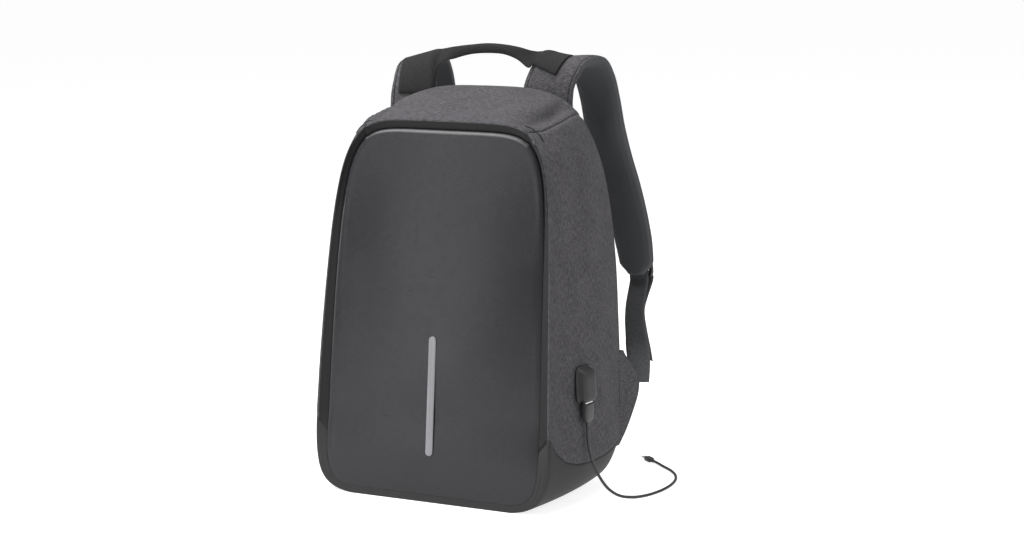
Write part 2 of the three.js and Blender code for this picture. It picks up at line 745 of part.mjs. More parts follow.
function wing(side) {
  const hand = hands[side];
  const clear = 0.9;
  const sections = wingShape.map((row) => {
    const z = mix(wingBottom, wingTop, row.height);
    const onBody = (column) => {
      const { x } = onRing(column.ring, angleAt(column.ring, z));
      return point(x, column.y(z), z);
    };
    const start = onBody(bodyColumn(0.93)).add(point(clear, 0, 0));
    const bend = onBody(rollColumn(0)).add(point(clear, 0, 0));
    const half = onBody(rollColumn(45 * radians)).add(point(clear * 0.8, clear * 0.8, 0));
    const flat = onBody(rollColumn(90 * radians)).add(point(0, clear, 0));
    const tip = bend.clone().add(point(row.reach * wingFlare, row.reach * wingReach + backRoll, 0));
    const tipInner = tip.clone().add(point(-wingThickness, 1, 0));
    const rootInner = flat.clone().add(point(1.5, 1.2, 0));
    const outline = [start, bend, half, flat, rootInner, tipInner, tip];
    return outline.map((p) => point(hand * p.x, p.y, p.z));
  });
  return loft(sections);
}

// Charging socket, plug and lead

// Points of a rectangle with cut corners, across and up from its middle
function roundRectangle(width, height, corner) {
  const [w, h, c] = [width / 2, height / 2, corner];
  const near = c * 0.3;
  return [
    [w - c, -h], [w - near, -h + near], [w, -h + c], [w, h - c], [w - near, h - near], [w - c, h],
    [c - w, h], [near - w, h - near], [-w, h - c], [-w, c - h], [near - w, near - h], [c - w, -h],
  ];
}

const portRing = ringAt(portDepthShare);
const portZ = portBottom + portHeight / 2;
const portHere = bodyColumn(portDepthShare);
const portFoot = point(onRing(portRing, angleAt(portRing, portZ)).x, portHere.y(portZ), portZ);
const portAside = bodyColumn(portDepthShare + 0.05);
const portAsideX = onRing(portAside.ring, angleAt(portAside.ring, portZ)).x;
const portAlong = point(portAsideX - portFoot.x, portAside.y(portZ) - portFoot.y, 0).normalize();
const portHigh = onRing(portRing, angleAt(portRing, portZ + portHeight / 2));
const portUp = point(portHigh.x - portFoot.x, portHere.y(portHigh.z) - portFoot.y, portHeight / 2);
portUp.addScaledVector(portAlong, -portUp.dot(portAlong)).normalize();
const portOut = portAlong.clone().cross(portUp).normalize();
const portLift = 0.6;
const flange = 1.6;
const plugOut = portLift + flange + 0.6 + plugThickness / 2;

// Layers of the housing from the cloth outwards: how far out, and what is taken off its width and height
const portLayers = [
  { out: 0, narrow: 0, short: 0, drop: 0 },
  { out: flange, narrow: 0, short: 0, drop: 0 },
  { out: flange + 0.3, narrow: 3, short: 3, drop: 0 },
  { out: portThickness * 0.76, narrow: 4, short: 5, drop: 1 },
  { out: portThickness * 0.94, narrow: 6, short: 9, drop: 2.6 },
  { out: portThickness, narrow: 9, short: 13, drop: 4 },
];

function port() {
  return loft(portLayers.map((layer) =>
    roundRectangle(portWidth - layer.narrow, portHeight - layer.short, 3.4).map(([across, up]) =>
      portFoot.clone().addScaledVector(portAlong, across).addScaledVector(portOut, portLift + layer.out)
        .addScaledVector(portUp, up - layer.drop))));
}

const plugTop = portBottom + 1.5 - seamGap;
const plugShoulder = plugTop - shellLength;
const plugBottom = plugShoulder - plugLength;
const neckLength = 5;
const neckWidth = 4.4;

// A point in front of the socket, by its place across and out from the socket's foot and its height
const byPort = (across, out, z) =>
  point(portFoot.x, portFoot.y, z).addScaledVector(portAlong, across).addScaledVector(portOut, out);

function plug() {
  const layers = [
    [plugTop, shellWidth, shellThickness, 0.4],
    [plugShoulder, shellWidth, shellThickness, 0.4],
    [plugShoulder, plugWidth, plugThickness, 2],
    [plugBottom + 4, plugWidth - 1, plugThickness - 0.6, 2],
    [plugBottom, plugWidth - 6, plugThickness - 2.4, 2],
    [plugBottom, neckWidth, neckWidth, 1.6],
    [plugBottom - neckLength, leadDiameter + 0.6, leadDiameter + 0.6, 1.3],
  ];
  return loft(layers.map(([z, width, thickness, corner]) =>
    roundRectangle(width, thickness, corner).map(([across, out]) => byPort(across, plugOut + out, z))));
}

const leadStart = byPort(0, plugOut, plugBottom - neckLength - seamGap);
const onFloor = leadDiameter / 2 + 0.05;

// The lead's route by hand: offsets from where it leaves the plug, then heights above the floor
const leadRoute = [
  [0, 0, 0], [0, 0, -6], [0.3, 0.2, -13], [2, 1.4, -26], [5.5, 4.4, -40], [10.5, 9.5, -54],
  [17, 17, -66.5], [25, 26, -74.5], [34, 37, -78], [43, 50, -79], [50, 66, -79], [54, 84, -79],
  [55, 103, -79], [52.5, 122, -79], [46, 139, -79], [36, 153, -79], [24, 164, -78.8], [13, 173, -78],
  [8, 177.1, -78],
];

const leadPoints = leadRoute.map(([x, y, z]) => {
  const down = mix(leadStart.z, onFloor, clamp(-z / 79));
  return point(leadStart.x + x, leadStart.y + y, down);
});
const leadCurve = new THREE.CatmullRomCurve3(leadPoints, false, "centripetal");

function lead() {
  const circle = new THREE.Shape();
  for (let k = 0; k < 8; k += 1) {
    const angle = ((k + 0.5) / 8) * 2 * Math.PI;
    const [x, y] = [Math.cos(angle) * leadDiameter / 2, Math.sin(angle) * leadDiameter / 2];
    if (k === 0) circle.moveTo(x, y);
    else circle.lineTo(x, y);
  }
  circle.closePath();
  return new THREE.ExtrudeGeometry(circle, { steps: 52, extrudePath: leadCurve, bevelEnabled: false });
}

function connector() {
  const end = leadCurve.getPoint(1);
  const along = leadCurve.getTangent(1).setZ(0).normalize();
  const across = point(-along.y, along.x, 0);
  const layers = [
    [0, leadDiameter + 0.6, leadDiameter + 0.2, 1.2],
    [4.5, leadDiameter + 1.2, leadDiameter + 0.8, 1.4],
    [4.5, connectorWidth - 1.2, connectorThickness - 0.8, 1.5],
    [6, connectorWidth, connectorThickness, 1.8],
    [connectorLength - 6.8, connectorWidth, connectorThickness, 1.8],
    [connectorLength - 6.8, connectorWidth - 1, 1.6, 0.6],
    [connectorLength, connectorWidth - 1.2, 1.5, 0.6],
  ];
  return loft(layers.map(([far, width, thickness, corner]) =>
    roundRectangle(width, thickness, corner).map(([side, up]) =>
      end.clone().addScaledVector(along, seamGap + far).addScaledVector(across, side).add(point(0, 0, up)))));
}

// Plain slider of the back zip, near the left lower corner
function zipSlider() {
  const height = 118;
  const nearest = (column) => column.filter((p) => p.x < 0)
    .reduce((a, b) => (Math.abs(a.z - height) < Math.abs(b.z - height) ? a : b));
  const inner = nearest(skin[columns.length - 1]);
  const outer = nearest(skin[columns.length - 2]);
  const middle = inner.clone().add(outer).multiplyScalar(0.5);
  const foot = depth / 2 + 0.45;
  const layers = [
    [0, 7, 12, 1.5], [2.2, 7, 12, 1.5], [2.6, 4, 6, 1], [3.6, 5, 8, 1],
  ];
  return loft(layers.map(([out, width, long, corner]) =>
    roundRectangle(width, long, corner).map(([across, up]) =>
      point(middle.x + across, foot + out, middle.z + up))));
}

const group = new THREE.Group();

function add(name, geometry, colour, roughness, metalness = 0) {
  const material = new THREE.MeshStandardMaterial({ color: colour, roughness, metalness });
  const mesh = new THREE.Mesh(geometry, material);
  mesh.name = name;
  group.add(mesh);
  return mesh;
}

const last = columns.length - 1;
const heather = 0x5c595c;
const black = 0x1d1d1f;
add("front_panel", frontPanel(), 0x2a292c, 0.5);
add("reflective_strip", strip(), 0xa0a0a5, 0.35);
add("rim_band", cutCloth(0, bodyStart, baseRows, rows, rimWall), 0x202022, 0.6);
add("top_panel", cutCloth(bodyStart, bodyStop, shoulderRight, shoulderLeft, clothWall), heather, 0.9);
add("side_panel_right", cutCloth(bodyStart, bodyStop, baseRows, shoulderRight, clothWall), heather, 0.9);
add("side_panel_left", cutCloth(bodyStart, bodyStop, shoulderLeft, rows, clothWall), heather, 0.9);
add("base_panel", cutCloth(0, last, 0, baseRows, clothWall), 0x1b1b1d, 0.6);
add("back_zip", cutCloth(bodyStop, last, baseRows, rows, clothWall), black, 0.8);
add("back_panel", backPanel(), black, 0.95);
for (const side of ["right", "left"]) {
  add(`strap_pad_${side}`, strapPad(side), black, 0.95);
  add(`strap_cover_${side}`, strapCover(side), heather, 0.9);
}
add("carry_handle", handle(), black, 0.85);
for (const side of ["right", "left"]) {
  add(`ladder_lock_${side}`, ladderLock(side), black, 0.5);
  add(`strap_webbing_${side}`, webbing(side), black, 0.85);
  add(`wing_${side}`, wing(side), heather, 0.9);
}
add("zip_slider", zipSlider(), 0x2b2b2e, 0.4, 0.6);
add("usb_port", port(), 0x2c2c2e, 0.5);
add("usb_plug", plug(), 0x333335, 0.5);
add("lead_cord", lead(), black, 0.6);
add("lead_connector", connector(), 0x333335, 0.5);

export default group;
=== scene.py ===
import math
import bpy
import numpy as np
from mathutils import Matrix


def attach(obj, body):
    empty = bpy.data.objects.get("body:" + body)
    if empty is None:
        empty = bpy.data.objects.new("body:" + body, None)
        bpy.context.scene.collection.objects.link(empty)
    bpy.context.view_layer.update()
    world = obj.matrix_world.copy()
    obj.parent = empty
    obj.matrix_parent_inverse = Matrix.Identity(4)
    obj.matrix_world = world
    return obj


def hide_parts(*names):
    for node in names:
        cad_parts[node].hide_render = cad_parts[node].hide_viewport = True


# A soft backpack with a smooth front plate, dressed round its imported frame.
# Lengths are millimetres until a mesh is made, in the frame of the model: +Z up, +Y to the back.

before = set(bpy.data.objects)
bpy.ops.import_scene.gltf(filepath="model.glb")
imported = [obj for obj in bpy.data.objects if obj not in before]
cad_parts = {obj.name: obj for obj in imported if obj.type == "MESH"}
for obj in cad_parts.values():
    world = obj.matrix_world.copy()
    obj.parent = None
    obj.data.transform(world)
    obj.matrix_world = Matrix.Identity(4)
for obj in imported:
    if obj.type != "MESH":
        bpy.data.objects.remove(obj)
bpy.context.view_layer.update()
mm = 0.001
print("frame loaded:", len(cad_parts), "nodes")


# Small maths

def mix(a, b, s):
    return a + (b - a) * s


def smooth(s):  # 3s^2 - 2s^3 between 0 and 1
    s = np.clip(s, 0, 1)
    return s * s * (3 - 2 * s)


def bump(s):  # exp(-s^2)
    return np.exp(-np.square(s))


def unit(v):
    return v / np.maximum(np.linalg.norm(v, axis=-1, keepdims=True), 1e-9)


def waves(points, length, seed, count=14):  # sines in random directions, added up; mostly -1.5 to 1.5
    dice = np.random.default_rng(seed)
    heading = unit(dice.normal(size=(count, 3)))
    pace = 2 * math.pi / (length * dice.uniform(0.75, 1.4, count))
    phase = dice.uniform(0, 2 * math.pi, count)
    return np.sin(points @ (heading * pace[:, None]).T + phase).sum(-1) / math.sqrt(count)


def curveThrough(places):  # centripetal Catmull-Rom curve; its parameter counts the places
    places = np.asarray(places, float)
    ends = [2 * places[:1] - places[1:2], places, 2 * places[-1:] - places[-2:-1]]
    knots = np.concatenate(ends)
    gaps = np.maximum(np.sum(np.diff(knots, axis=0) ** 2, axis=1) ** 0.25, 1e-4)

    def at(u):
        u = np.clip(np.asarray(u, float), 0, len(places) - 1)
        i = np.minimum(u.astype(int), len(places) - 2)
        t = (u - i)[..., None]
        a, b, c, d = (knots[i + k] for k in range(4))
        g0, g1, g2 = (gaps[i + k][..., None] for k in range(3))
        m1 = ((b - a) / g0 - (c - a) / (g0 + g1) + (c - b) / g1) * g1
        m2 = ((c - b) / g1 - (d - b) / (g1 + g2) + (d - c) / g2) * g1
        return b + m1 * t + (3 * (c - b) - 2 * m1 - m2) * t ** 2 + (2 * (b - c) + m1 + m2) * t ** 3

    return at


def courseOf(at, u, step=1e-3):  # unit tangent of a curve
    return unit(at(np.asarray(u) + step) - at(np.asarray(u) - step))


def powerCircle(count, power):  # cosine and sine to a power: squarer than a circle below 1
    turn = np.linspace(0, 2 * math.pi, count, endpoint=False)
    c, s = np.cos(turn), np.sin(turn)
    return np.sign(c) * np.abs(c) ** power, np.sign(s) * np.abs(s) ** power


def roundSection(width, height, power, count=48):  # |x|^p + |y|^p = 1 scaled to width and height
    a, b = powerCircle(count, 2 / power)
    return a * width / 2, b * height / 2


# Meshes

def lengthsOf(points, axis):  # running length along one axis of a grid
    steps = np.linalg.norm(np.diff(points, axis=axis), axis=-1)
    zero = np.zeros_like(np.take(steps, [0], axis=axis))
    return np.concatenate([zero, np.cumsum(steps, axis=axis)], axis=axis)


def enclosed(verts, faces):  # six times the volume under the faces, negative if they point inwards
    first = verts[faces[:, 0]]
    pairs = range(1, faces.shape[1] - 1)
    return sum(np.sum(first * np.cross(verts[faces[:, k]], verts[faces[:, k + 1]])) for k in pairs)


def capped(verts, ring, first, order):  # a fan from a ring of a grid to its middle point
    n, middle = len(ring), len(verts)
    verts = np.concatenate([verts, ring.mean(0, keepdims=True)])
    here, after = first + np.arange(n), first + (np.arange(n) + 1) % n
    fan = np.stack([here, after, np.full(n, middle)], -1)[:, ::order]
    flat = (verts[fan] - verts[middle]) @ unit(np.array([[1.0, 0.3, 0.2], [0.1, 0.4, 1.0]])).T
    return verts, (fan, flat)


def surface(name, points, finish, closedI=False, closedJ=False, caps=False):
    # Quads between neighbours of a grid points[i, j]; caps adds a fan to a middle point at each end of i
    m, n = points.shape[:2]
    padded = np.pad(points, ((0, 1), (0, 1), (0, 0)), mode="wrap")
    long, wide = lengthsOf(padded, 0), lengthsOf(padded, 1)
    i, j = np.meshgrid(np.arange(m if closedI else m - 1), np.arange(n if closedJ else n - 1), indexing="ij")
    corners = [(i, j), (i + 1, j), (i + 1, j + 1), (i, j + 1)]
    quads = np.stack([(a % m) * n + b % n for a, b in corners], -1).reshape(-1, 4)
    uvs = np.stack([np.stack([wide[a, b], long[a, b]], -1) for a, b in corners], 2).reshape(-1, 4, 2)
    parts = [(quads, uvs)]
    verts = points.reshape(-1, 3)
    for end, order in ((0, 1), (m - 1, -1)) if caps else ():
        verts, fan = capped(verts, points[end], end * n, order)
        parts.append(fan)
    closed = caps or closedI and closedJ
    way = -1 if closed and sum(enclosed(verts, faces) for faces, _ in parts) < 0 else 1
    faces = [face for part, _ in parts for face in part[:, ::way].tolist()]
    texture = np.concatenate([part[:, ::way].reshape(-1, 2) for _, part in parts])
    return meshPiece(name, verts, faces, texture, finish)


def loft(name, rings, finish):  # closed rings joined from end to end, with both ends closed
    return surface(name, np.stack(rings), finish, closedJ=True, caps=True)


def meshPiece(name, verts, faces, uvs, finish):
    mesh = bpy.data.meshes.new(name)
    mesh.from_pydata((verts * mm).tolist(), [], faces)
    layer = mesh.uv_layers.new(name="cloth")
    layer.data.foreach_set("uv", (uvs * mm).astype(np.float32).ravel())
    mesh.shade_smooth()
    mesh.materials.append(finish)
    mesh.update()
    piece = bpy.data.objects.new(name, mesh)
    bpy.context.scene.collection.objects.link(piece)
    return piece


def thicken(piece, depth):  # a wall behind an open surface
    solid = piece.modifiers.new("wall", "SOLIDIFY")
    solid.thickness = depth * mm
    solid.offset = -1
    solid.use_even_offset = False


def dress(piece, slot, *nodes):
    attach(piece, "root")
    if nodes:
        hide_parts(*nodes)
    return piece


smallBar = {"along": 4, "around": 6, "power": 0.7}  # faces and squareness of a stitch or a tooth


def many(name, places, along, across, size, finish):
    # One small rounded bar at each place: a ball stretched to size = length, width, height
    around = smallBar["around"]
    turns = np.linspace(0, math.pi, smallBar["along"] + 1), np.arange(around) * 2 * math.pi / around
    turnA, turnB = np.meshgrid(*turns, indexing="ij")
    ball = np.stack([np.cos(turnA), np.sin(turnA) * np.cos(turnB), np.sin(turnA) * np.sin(turnB)], -1)
    ball = np.sign(ball) * np.abs(ball) ** smallBar["power"] * np.array(size) / 2
    up = np.cross(along, across)
    axes = np.stack([along, across, up], 1)
    verts = ball.reshape(1, -1, 3) @ axes + places[:, None, :]
    m, n = ball.shape[:2]
    i, j = np.meshgrid(np.arange(m - 1), np.arange(n), indexing="ij")
    after = (j + 1) % n
    quads = np.stack([i * n + j, i * n + after, (i + 1) * n + after, (i + 1) * n + j], -1).reshape(-1, 4)
    faces = (quads[None] + (np.arange(len(places)) * m * n)[:, None, None]).reshape(-1, 4)
    if enclosed(verts[0], quads) < 0:
        faces = faces[:, ::-1]
    flat = verts.reshape(-1, 3)
    uvs = flat[faces][..., [0, 2]].reshape(-1, 2)
    return meshPiece(name, flat, faces.tolist(), uvs, finish)


# Materials

class Wire:  # a socket's value that Python's operators work on, one Math node each
    def __init__(self, finish, socket):
        self.finish = finish
        self.socket = socket

    def maths(self, operation, a, b=0.0):
        return self.finish.node("ShaderNodeMath", {"operation": operation}, {0: a, 1: b})

    def __add__(self, other):
        return self.maths("ADD", self, other)

    def __radd__(self, other):
        return self.maths("ADD", other, self)

    def __sub__(self, other):
        return self.maths("SUBTRACT", self, other)

    def __rsub__(self, other):
        return self.maths("SUBTRACT", other, self)

    def __mul__(self, other):
        return self.maths("MULTIPLY", self, other)

    def __rmul__(self, other):
        return self.maths("MULTIPLY", other, self)

    def sine(self):
        return self.maths("SINE", self)

    def above(self, low, high):  # 0 at low and under, 1 at high and over
        sockets = {0: self, 1: low, 2: high, 3: 0.0, 4: 1.0}
        return self.finish.node("ShaderNodeMapRange", {"interpolation_type": "SMOOTHSTEP"}, sockets)


class Finish:  # a material's nodes, made one by one
    def __init__(self, name, roughness=0.5, metallic=0.0, specular=0.5, coat=0.0):
        self.material = bpy.data.materials.new(name)
        self.material.use_nodes = True
        self.tree = self.material.node_tree
        self.shader = self.tree.nodes["Principled BSDF"]
        fixed = {"Roughness": roughness, "Metallic": metallic, "Specular IOR Level": specular,
                 "Coat Weight": coat}
        for key, value in fixed.items():
            self.shader.inputs[key].default_value = value

    def node(self, kind, settings=None, sockets=None, out=0):
        made = self.tree.nodes.new(kind)
        for key, value in (settings or {}).items():
            setattr(made, key, value)
        for key, value in (sockets or {}).items():
            if isinstance(value, Wire):
                self.tree.links.new(value.socket, made.inputs[key])
            else:
                made.inputs[key].default_value = value
        return Wire(self, made.outputs[out])

    def place(self, kind="UV"):  # metres along the cloth, or in the model's frame with kind Object
        return self.node("ShaderNodeTexCoord", out=kind)

    def part(self, vector, axis):
        return self.node("ShaderNodeSeparateXYZ", sockets={0: vector}, out=axis)

    def noise(self, vector, size, detail=2.0, stretch=(1, 1, 1)):  # size of one blotch in millimetres
        pace = tuple(1 / (size * mm * s) for s in stretch)
        scaled = self.node("ShaderNodeVectorMath", {"operation": "MULTIPLY"}, {0: vector, 1: pace})
        sockets = {"Vector": scaled, "Scale": 1.0, "Detail": detail, "Roughness": 0.55}
        return self.node("ShaderNodeTexNoise", {"noise_dimensions": "3D"}, sockets)

    def blend(self, mask, a, b):  # colours
        colours = {}
        for key, value in ((6, a), (7, b)):
            colours[key] = value if isinstance(value, Wire) else (*value, 1.0)
        return self.node("ShaderNodeMix", {"data_type": "RGBA"}, {0: mask, **colours}, out=2)

    def feed(self, socket, value):
        self.tree.links.new(value.socket, self.shader.inputs[socket])

    def relief(self, height, distance, strength=1.0):  # distance in millimetres
        sockets = {"Strength": strength, "Distance": distance * mm, "Height": height}
        self.feed("Normal", self.node("ShaderNodeBump", sockets=sockets))


heatherLook = {  # sizes in millimetres; the shares say how much each noise adds to the fleck
    "dark": (0.040, 0.0382, 0.0415), "light": (0.087, 0.0835, 0.0895), "lowest": 0.40, "highest": 0.62,
    "thread": 0.95, "fleckLong": 6.0, "fleckThin": 0.9, "blotch": 26,
    "acrossShare": 0.62, "alongShare": 0.38, "blotchShare": 0.12, "relief": 0.12,
}


def heatherFinish():  # two-tone woven cloth: streaks of light and dark thread along both ways of the weave
    look = heatherLook
    finish = Finish("heather_cloth", roughness=0.9, specular=0.2)
    cloth = finish.place()
    across = finish.noise(cloth, look["fleckThin"], 3, (look["fleckLong"], 1, 1))
    along = finish.noise(cloth, look["fleckThin"], 3, (1, look["fleckLong"], 1))
    blotch = finish.noise(cloth, look["blotch"], 2)
    mixed = across * look["acrossShare"] + along * look["alongShare"] + (blotch - 0.5) * look["blotchShare"]
    fleck = mixed.above(look["lowest"], look["highest"])
    finish.feed("Base Color", finish.blend(fleck, look["dark"], look["light"]))
    pace = 2 * math.pi / (look["thread"] * mm)
    warp = (finish.part(cloth, 0) * pace).sine()
    weft = (finish.part(cloth, 1) * pace).sine()
    finish.relief(warp * weft * 0.35 + fleck * 0.5 + across * 0.3, look["relief"], 0.8)
    finish.feed("Roughness", 0.95 - fleck * 0.12)
    return finish.material


coatedLook = {
    # rim: the coated cloth's own dark colour, painted darker still as shade of the groove round the front
    # panel
    "front": (0.0100, 0.0096, 0.0118), "dark": (0.012, 0.012, 0.0127), "rim": (0.008, 0.008, 0.0084),
    "grain": 0.45, "cloud": 60, "paler": 1.1, "darker": 0.92,
    "frontRough": 0.27, "darkRough": 0.6, "rimRough": 0.85,
}


def coatedFinish(name, kind):  # smooth coated cloth: a fine pebble, soft clouds of a duller shade
    look, colour, roughness = coatedLook, coatedLook[kind], coatedLook[kind + "Rough"]
    finish = Finish(name, roughness=roughness, specular=0.38)
    place = finish.place("Object")
    cloud = finish.noise(place, look["cloud"], 3)
    pebble = finish.noise(place, look["grain"], 2)
    paler, darker = (tuple(c * look[key] for c in colour) for key in ("paler", "darker"))
    finish.feed("Base Color", finish.blend((cloud * 0.7 + pebble * 0.3).above(0.3, 0.7), darker, paler))
    finish.feed("Roughness", cloud * 0.1 + pebble * 0.08 + (roughness - 0.09))
    finish.relief(pebble, 0.05, 0.5)
    return finish.material


# hole: darker than the thread, painted shade inside the holes
meshLook = {"pitch": 2.1, "thread": (0.064, 0.0655, 0.069), "hole": (0.055, 0.0565, 0.060), "swell": 24}


def meshFinish():  # black padded mesh: small round holes in offset rows, painted darker as shade inside them
    look = meshLook
    finish = Finish("padded_mesh", roughness=0.9, specular=0.2)
    cloth = finish.place()
    pace = 2 * math.pi / (look["pitch"] * mm)
    u, v = finish.part(cloth, 0) * pace, finish.part(cloth, 1) * pace
    hole = (u.sine() * v.sine() + (u * 0.5 + v * 0.5).sine() * 0.25).above(0.1, 0.75)
    soft = finish.noise(cloth, look["swell"], 2)
    finish.feed("Base Color", finish.blend(hole, look["thread"], look["hole"]))
    finish.relief(1 - hole + soft * 0.4, 0.16, 0.5)
    return finish.material


webLook = {"rib": 1.9, "cord": 1.3, "yarn": 1.2}  # millimetres from rib to rib, cord to cord, yarn to yarn


def webFinish(name, dark, light):  # flat woven web: ribs across it, a fleck of paler yarn
    finish = Finish(name, roughness=0.8, specular=0.25)
    cloth = finish.place()
    rib = (finish.part(cloth, 1) * (2 * math.pi / (webLook["rib"] * mm))).sine()
    cord = (finish.part(cloth, 0) * (2 * math.pi / (webLook["cord"] * mm))).sine()
    yarn = finish.noise(cloth, webLook["yarn"], 2, (1, 3, 1))
    finish.feed("Base Color", finish.blend(yarn.above(0.35, 0.7), dark, light))
    finish.relief(rib * 0.5 + cord * rib * 0.35 + yarn * 0.3, 0.25, 0.8)
    return finish.material


plasticLook = {"grain": 0.35, "cloud": 9, "paler": 1.18, "darker": 0.85}


def plasticFinish(name, colour, roughness):  # moulded plastic or rubber with a fine grain
    look = plasticLook
    finish = Finish(name, roughness=roughness, specular=0.5)
    place = finish.place("Object")
    pebble = finish.noise(place, look["grain"], 2)
    cloud = finish.noise(place, look["cloud"], 2)
    shade = (cloud * 0.6 + pebble * 0.4).above(0.3, 0.7)
    darker, paler = (tuple(c * look[key] for c in colour) for key in ("darker", "paler"))
    finish.feed("Base Color", finish.blend(shade, darker, paler))
    finish.feed("Roughness", cloud * 0.12 + (roughness - 0.06))
    finish.relief(pebble, 0.03, 0.5)
    return finish.material


def metalFinish(name, colour, roughness):  # brushed plated metal
    finish = Finish(name, roughness=roughness, metallic=1.0)
    brushed = finish.noise(finish.place("Object"), 0.2, 2, (1, 12, 1))
    finish.feed("Base Color", finish.blend(brushed, tuple(c * 0.85 for c in colour), colour))
    finish.feed("Roughness", brushed * 0.2 + (roughness - 0.1))
    return finish.material


filmLook = {"dark": (0.145, 0.143, 0.153), "light": (0.19, 0.187, 0.2), "bead": 0.35, "cloud": 22}


def filmFinish():  # retroreflective film: pale grey, a net of tiny beads
    finish = Finish("reflective_film", roughness=0.35, specular=0.6, coat=0.2)
    place = finish.place("Object")
    bead = finish.noise(place, filmLook["bead"], 1)
    cloud = finish.noise(place, filmLook["cloud"], 2)
    shade = (cloud * 0.5 + bead * 0.5).above(0.3, 0.7)
    finish.feed("Base Color", finish.blend(shade, filmLook["dark"], filmLook["light"]))
    finish.feed("Roughness", bead * 0.25 + 0.25)
    finish.relief(bead, 0.04, 0.4)
    return finish.material


heather = heatherFinish()
frontCloth = coatedFinish("front_cloth", "front")
darkCloth = coatedFinish("coated_cloth", "dark")
# the rim's cloth: painted shade of the groove beside the front panel, darker than the front and base cloth
shadedRimCloth = coatedFinish("shaded_rim_cloth", "rim")
paddedMesh = meshFinish()
webbing = webFinish("webbing", (0.060, 0.0612, 0.064), (0.078, 0.0795, 0.083))
# handle web: a darker copy of the webbing, painted shade where the top lamp falls on the handle
shadedHandleWeb = webFinish("shaded_handle_web", (0.010, 0.010, 0.0106), (0.017, 0.017, 0.0178))
blackPlastic = plasticFinish("black_plastic", (0.018, 0.018, 0.019), 0.3)
softRubber = plasticFinish("soft_rubber", (0.012, 0.012, 0.0132), 0.55)
plugPlastic = plasticFinish("plug_plastic", (0.023, 0.023, 0.0242), 0.45)
jacket = plasticFinish("lead_jacket", (0.012, 0.012, 0.013), 0.45)
zipPlastic = plasticFinish("zip_teeth", (0.014, 0.014, 0.015), 0.35)
plated = metalFinish("plated_shell", (0.75, 0.75, 0.77), 0.3)
gunmetal = metalFinish("slider_metal", (0.10, 0.10, 0.105), 0.35)
film = filmFinish()
thread = webFinish("sewing_thread", (0.030, 0.029, 0.031), (0.045, 0.044, 0.047))
print("finishes made")


# Camera and light

shot = {"heading": 24.008, "down": 9.784, "lens": 68.905, "place": (0.8667, -1.8133, 0.5772)}


def makeCamera():
    lens = bpy.data.cameras.new("camera")
    lens.lens = shot["lens"]
    lens.sensor_width = 36
    lens.clip_end = 60
    camera = bpy.data.objects.new("camera", lens)
    camera.location = shot["place"]
    camera.rotation_euler = (math.radians(90 - shot["down"]), 0, math.radians(shot["heading"]))
    bpy.context.scene.collection.objects.link(camera)
    bpy.context.scene.camera = camera


studio = {
    "paper": 0.5, "glow": 0.8, "sky": 0.35, "floorHalf": 20000.0,
    "lights": {  # place and size in metres, power in watts; each looks at the middle of the bag
        "key": {"place": (-0.80, -1.67, 0.42), "size": (0.16, 1.3), "power": 3.6},
        "brow": {"place": (-0.70, -1.0, 1.43), "size": (1.2, 0.6), "power": 24},
        "top": {"place": (-0.3, -0.1, 2.3), "size": (2.2, 2.2), "power": 54},
        "right": {"place": (2.0, 0.2, 1.4), "size": (1.0, 1.2), "power": 12.5},
        "left": {"place": (-2.0, -0.9, 0.5), "size": (0.8, 1.2), "power": 14},
    },
    "aim": (0, 0, 0.22),
}


def makeStudio():
    scene = bpy.context.scene
    scene.view_settings.view_transform = "Standard"
    world = bpy.data.worlds.new("studio")
    world.use_nodes = True
    sky = world.node_tree.nodes["Background"]
    sky.inputs["Color"].default_value = (1, 1, 1, 1)
    sky.inputs["Strength"].default_value = studio["sky"]
    scene.world = world
    for name, light in studio["lights"].items():
        lamp = bpy.data.lights.new(name, "AREA")
        lamp.shape = "RECTANGLE"
        lamp.size, lamp.size_y = light["size"]
        lamp.energy = light["power"]
        lampObject = bpy.data.objects.new(name, lamp)
        lampObject.location = light["place"]
        away = lampObject.location - type(lampObject.location)(studio["aim"])
        lampObject.rotation_euler = away.to_track_quat("Z", "Y").to_euler()
        scene.collection.objects.link(lampObject)
    finish = Finish("floor_paper", roughness=0.9, specular=0.1)
    grain = finish.noise(finish.place("Object"), 3, 2)
    pale = (studio["paper"],) * 3
    finish.feed("Base Color", finish.blend(grain, tuple(c * 0.995 for c in pale), pale))
    finish.shader.inputs["Emission Color"].default_value = (1, 1, 1, 1)
    finish.shader.inputs["Emission Strength"].default_value = studio["glow"]
    ends = np.array([-studio["floorHalf"], studio["floorHalf"]])
    x, y = np.meshgrid(ends, ends, indexing="ij")
    floor = surface("floor", np.stack([x, y, np.zeros_like(x)], -1), finish.material)


makeCamera()
makeStudio()
print("camera and studio made")


# The bag's outline, the same as the solids': rounded rectangles from the front panel's edge to the back

bag = {
    "depth": 154.0, "frontWidth": 268.0, "middleWidth": 304.0, "backWidth": 308.0,
    "frontHeight": 389.0, "ridgeHeight": 416.0, "waist": 148.0, "frontLean": 43.5, "leanPower": 1.56,
    "topPower": 1.52, "upperPowers": (6.1, 3.9), "lowerPowers": (7, 6.1),
    "frontTaper": 0.135, "backTaper": 0.129, "taperPower": 1.6, "baseLift": 16.0, "liftStart": 0.82,
    "soleRound": 1.4, "soleEnd": 0.24, "soleFade": 0.4,
    "bodyEnd": 0.96, "backRoll": 6.0, "zipWidth": 10.0, "clothWall": 2.2, "rimWall": 1.5,
    "panelWidth": 241.0, "panelTop": 379.0, "panelBottom": 7.5, "panelTaper": 0.075, "panelPowers": (6.6, 9),
    "gutterTop": 6.2, "gutterLow": 4.1, "gutterSole": 0.9, "gutterFrom": 0.55, "gutterFade": 0.4,
    "panelRecess": 3.4, "soleRecess": 0.4, "panelCrown": 3.0, "panelEdge": 6.0, "lipRoll": 0.7,
}
depth, waist = bag["depth"], bag["waist"]


